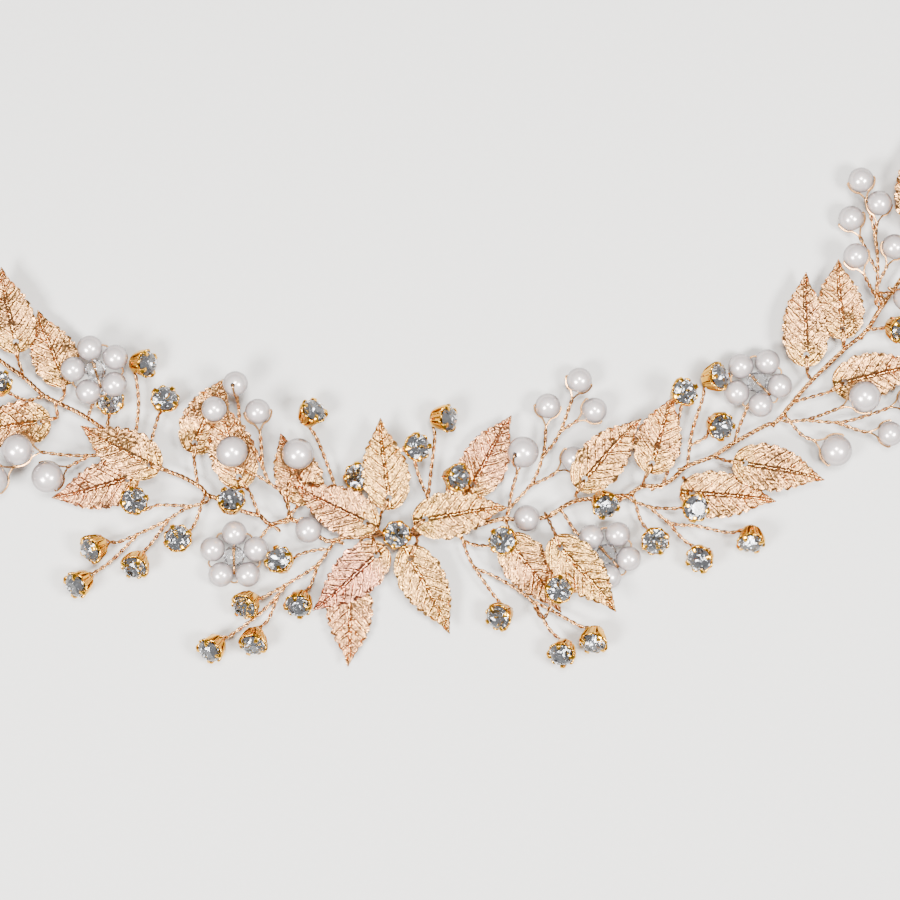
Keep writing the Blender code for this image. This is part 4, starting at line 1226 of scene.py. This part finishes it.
def build_twigs(node_name, twigs, body):
    """The wires, pearls and settings of one spray."""
    strands = []
    for number, part in enumerate(twigs, 1):
        if part["end"] == "bare":
            strands.extend(twisted_pair(part["route"]))
            continue
        route = [Vector(p) for p in part["route"]]
        centre = route[-1]
        label = f"{node_name}_{number}"
        if part["end"] == "pearl":
            towards = (centre - route[-2]).normalized()
            turn = radians(PEARL_TURNS.get(label, 12 * (number % 3) - 12))
            loop, axis = pearl_loop(centre, towards, part["diameter"], turn)
            strands.append(smooth_route(loop, LOOP_STEP))
            add_pearl(label + "_pearl", centre, axis, part["diameter"], body, node_name)
            twist_end = centre - towards * (part["diameter"] / 2 + PEARL_TWIST_END)
        else:
            rotation = facing(part["heading"], part["tilt"]) @ Matrix.Rotation(0.7 * number, 4, "Z")
            normal = facing(part["heading"], part["tilt"]) @ Vector((0.0, 0.0, 1.0))
            base = centre - normal * (SETTING_HEIGHT / 2)
            towards = (base + normal * 0.5 - route[-2]).normalized()
            strands.extend(smooth_route(leg, LOOP_STEP) for leg in cup_legs(base, normal, towards))
            add_setting(label, centre, rotation, body, node_name)
            twist_end = base - towards * CUP_TWIST_END
        line = [tuple(p) for p in route[:-1]]
        if (Vector(line[-1]) - twist_end).length < 0.8 and len(line) > 1:
            line.pop()
        strands.extend(twisted_pair(rooted(line + [tuple(twist_end)]), 0.9 * number))
    piece = wire_piece(node_name + "_twigs", strands, bpy.context.scene.hair_vine_sizes.strand)
    hand_over(piece, body, "gilt_wire", node_name)


class HAIRVINE_OT_leaves(Operator):
    """Stamp the leaves, bend each one and wire it to the stem"""
    bl_idname = "hair_vine.leaves"
    bl_label = "Leaves"

    def execute(self, context):
        for name in LEAVES:
            hole, heading, reach = leaf_place(name)
            rise, roll, curl, cup = LEAF_SET.get(name, DEFAULT_SET)
            matrix = (Matrix.Translation(hole)
                      @ Euler((radians(roll), radians(-rise), radians(heading))).to_matrix().to_4x4())
            leaf = place_copy(die("leaf", model_leaf), name + "_blade", Matrix.Identity(4))
            bend_leaf(leaf.data, reach, curl, cup, 3.7 * LEAVES.index(name))
            tint_leaf(leaf.data, LEAF_ROSE.get(name, DEFAULT_ROSE))
            leaf.data.transform(matrix)
            hand_over(leaf, name, "gilt_leaf", name)
            arm = JOINTS[name + "_swivel"]["parent"]
            hand_over(leaf_wire(name, hole), arm, "gilt_wire")
        return {"FINISHED"}


class HAIRVINE_OT_stem(Operator):
    """Twist the stem and turn its end loops"""
    bl_idname = "hair_vine.stem"
    bl_label = "Stem"

    def execute(self, context):
        sizes = context.scene.hair_vine_sizes
        line = smooth_route(STEM_ROUTE, STEM_STEP)
        strands = twisted_strands(line, 3, sizes.strand / MM * STEM_SPREAD,
                                  sizes.stem_pitch / MM, 0.0)
        begin = 0
        for name, joint_name, stands_for, end_point in STEM_LENGTHS:
            end = min(range(len(line)), key=lambda i: (line[i] - Vector(end_point)).length)
            part = [strand[begin:end + 1] for strand in strands]
            piece = wire_piece(name, part, sizes.strand)
            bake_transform(piece)
            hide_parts(stands_for)
            begin = end
        for name, (stem_end, centre, owner) in END_LOOPS.items():
            self.loop(name, Vector(stem_end), Vector(centre), owner)
        return {"FINISHED"}

    def loop(self, name, stem_end, centre, owner):
        """A hair pin loop: the stem's strands carried round and wrapped back on it."""
        sizes = bpy.context.scene.hair_vine_sizes
        loop_radius = 2.0
        wrap_radius = 0.62
        wrap_pitch = 0.34
        up = Vector((0.0, 0.0, 1.0))
        lead = (stem_end - centre).normalized()
        first = np.arctan2(lead.y, lead.x)
        ring = []
        for i in range(41):
            angle = first + 2 * pi * i / 40
            ring.append(Vector((centre.x + loop_radius * cos(angle),
                                centre.y + loop_radius * sin(angle), STEM_HEIGHT)))
        strands = twisted_strands(ring, 3, sizes.strand / MM * STEM_SPREAD,
                                  2 * pi * loop_radius / 4, 0.0)
        wrap = []
        across = Vector((-lead.y, lead.x, 0.0))
        for i in range(60):
            turns = i / 12
            angle = 2 * pi * turns
            spot = Vector((*stem_end, STEM_HEIGHT)) + Vector((*lead, 0.0)) * (wrap_pitch * turns)
            wrap.append(spot + wrap_radius * (cos(angle) * across + sin(angle) * up))
        piece = wire_piece(name, strands + [wrap], sizes.strand)
        hand_over(piece, BODY_OF[owner], "gilt_wire", owner)


class HAIRVINE_OT_sprays(Operator):
    """Wire up the sprays of pearls and of stones"""
    bl_idname = "hair_vine.sprays"
    bl_label = "Sprays"

    def execute(self, context):
        for group in (SPRAYS, STEM_TWIGS):
            for node_name, twigs in group.items():
                build_twigs(node_name, twigs, BODY_OF[node_name])
        return {"FINISHED"}


class HAIRVINE_OT_flowers(Operator):
    """Thread the pearl flowers round their cut beads"""
    bl_idname = "hair_vine.flowers"
    bl_label = "Pearl flowers"

    def execute(self, context):
        for name, flower in FLOWERS.items():
            self.flower(name, flower)
        return {"FINISHED"}

    def flower(self, name, flower):
        body = BODY_OF[name]
        centre = Vector(flower["centre"])
        ring = []
        for i in range(5):
            angle = radians(flower["first"] + 72 * i)
            out = Vector((cos(angle), sin(angle), 0.0))
            along = Vector((-sin(angle), cos(angle), 0.0))
            spot = centre + out * FLOWER_RING
            add_pearl(f"{name}_pearl_{i + 1}", spot, along, SMALL, body, name)
            ring.extend([spot - along * THREAD_HALF, spot + along * THREAD_HALF])
        lift = Vector((0.0, 0.0, CUT_BEAD_LIFT))
        turned = Matrix.Rotation(radians(20), 4, "X") @ Matrix.Scale(CUT_BEAD_RADIUS * MM, 4)
        bead = place_copy(die("faceted bead", model_bead), name + "_cut_bead",
                          Matrix.Translation((centre + lift) * MM) @ turned)
        hand_over(bead, body, "stone")
        ring.append(ring[0])
        first = radians(flower["first"])
        across = Vector((cos(first), sin(first), 0.0))
        # the wire that holds the cut bead, from one side of the ring to the other
        bridge = [centre - across * 3.4, centre - across * 2.3 + lift, centre + across * 2.3 + lift,
                  centre + across * 3.2]
        strands = [smooth_route(ring, STEM_STEP), smooth_route(bridge, STEM_STEP)]
        edge = centre + (Vector(flower["stalk"][-1]) - centre).normalized() * FLOWER_EDGE
        strands.extend(twisted_pair(rooted([*flower["stalk"], tuple(edge)])))
        piece = wire_piece(name + "_wire", strands, bpy.context.scene.hair_vine_sizes.strand)
        hand_over(piece, body, "gilt_wire", name)


class HAIRVINE_OT_stem_beads(Operator):
    """Set the centre stone, the pearls threaded on the stem and the settings wired to it"""
    bl_idname = "hair_vine.stem_beads"
    bl_label = "Centre stone and threaded beads"

    def execute(self, context):
        low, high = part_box("centre_cup")
        middle = Vector(((low[0] + high[0]) / 2, (low[1] + high[1]) / 2, low[2])) / MM
        add_setting("centre", middle + Vector((0.0, 0.0, SETTING_HEIGHT / 2 + 0.5)),
                    Matrix.Rotation(radians(30), 4, "Z"), BODY_OF["centre_cup"],
                    "centre_cup", "centre_stone")
        for name in ("left_stem_pearl", "right_stem_pearl"):
            low, high = (Vector(corner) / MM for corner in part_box(name))
            centre = (low + high) / 2
            _, _, along = nearest_on_stem(centre)
            add_pearl(name + "_bead", centre, along, STEM_PEARL, BODY_OF[name], name)
        for name, (x, y, heading, tilt) in STEM_SETTINGS.items():
            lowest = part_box(name)[0][2] / MM
            lean = radians(tilt)
            drop = SETTING_HEIGHT / 2 * cos(lean) + CUP_BASE_RADIUS * sin(lean)
            add_setting(name, (x, y, lowest + drop), facing(heading, tilt), BODY_OF[name], name)
        return {"FINISHED"}


class HAIRVINE_OT_stage(Operator):
    """Lay the floor and set the lights and the camera"""
    bl_idname = "hair_vine.stage"
    bl_label = "Stage"

    def execute(self, context):
        low = Vector(CAD_BOX[0])
        view_width = 171 * MM
        aim = Vector((10.1 * MM, 16.1 * MM, 4 * MM))
        deselect_all()
        bpy.ops.mesh.primitive_plane_add(size=3.0, location=(aim.x, aim.y, low.z - 0.05 * MM))
        floor = context.object
        floor.name = "studio_floor"
        bpy.ops.object.transform_apply(location=True, rotation=True, scale=True)
        floor.data.materials.append(finish("floor"))
        for name, (place, size, power) in SOFTBOXES.items():
            self.light(name, place, size, power, aim)
        world = bpy.data.worlds.new("studio")
        world.use_nodes = True
        world.node_tree.nodes["Background"].inputs["Color"].default_value = rgba(linear("#E8E8E8"))
        world.node_tree.nodes["Background"].inputs["Strength"].default_value = 0.3
        context.scene.world = world
        camera_data = bpy.data.cameras.new("camera")
        camera_data.lens = 100.0
        camera = bpy.data.objects.new("camera", camera_data)
        context.scene.collection.objects.link(camera)
        distance = view_width * camera_data.lens / camera_data.sensor_width
        camera.location = (aim.x, aim.y, aim.z + distance)
        context.scene.camera = camera
        return {"FINISHED"}

    def light(self, name, place, size, power, aim):
        lamp_data = bpy.data.lights.new(name, "AREA")
        lamp_data.size = size
        lamp_data.energy = power
        lamp = bpy.data.objects.new(name, lamp_data)
        lamp.location = place
        lamp.rotation_euler = (aim - Vector(place)).to_track_quat("-Z", "Y").to_euler()
        bpy.context.scene.collection.objects.link(lamp)


class HAIRVINE_PT_panel(Panel):
    """Lists the hair vine's sizes, colours and pieces"""
    bl_idname = "HAIRVINE_PT_panel"
    bl_label = "Hair vine"
    bl_space_type = "VIEW_3D"
    bl_region_type = "UI"
    bl_category = "Hair vine"

    def draw(self, context):
        for group in (context.scene.hair_vine_sizes, context.scene.hair_vine_colours):
            for prop in group.bl_rna.properties:
                if not prop.is_readonly and prop.identifier != "name":
                    self.layout.prop(group, prop.identifier)
        for operator in OPERATORS:
            self.layout.operator(operator.bl_idname)


OPERATORS = (HAIRVINE_OT_leaves, HAIRVINE_OT_stem, HAIRVINE_OT_sprays, HAIRVINE_OT_flowers,
             HAIRVINE_OT_stem_beads, HAIRVINE_OT_stage)
CLASSES = (HairVineSizes, HairVineColours, *OPERATORS, HAIRVINE_PT_panel)


def register():
    for cls in CLASSES:
        bpy.utils.register_class(cls)
    bpy.types.Scene.hair_vine_sizes = PointerProperty(type=HairVineSizes)
    bpy.types.Scene.hair_vine_colours = PointerProperty(type=HairVineColours)


def unregister():
    del bpy.types.Scene.hair_vine_colours
    del bpy.types.Scene.hair_vine_sizes
    for cls in reversed(CLASSES):
        bpy.utils.unregister_class(cls)


def main():
    register()
    bpy.ops.hair_vine.leaves()
    bpy.ops.hair_vine.stem()
    bpy.ops.hair_vine.sprays()
    bpy.ops.hair_vine.flowers()
    bpy.ops.hair_vine.stem_beads()
    remove_master(*DIES.values())
    bpy.ops.hair_vine.stage()


if __name__ == "__main__":
    main()
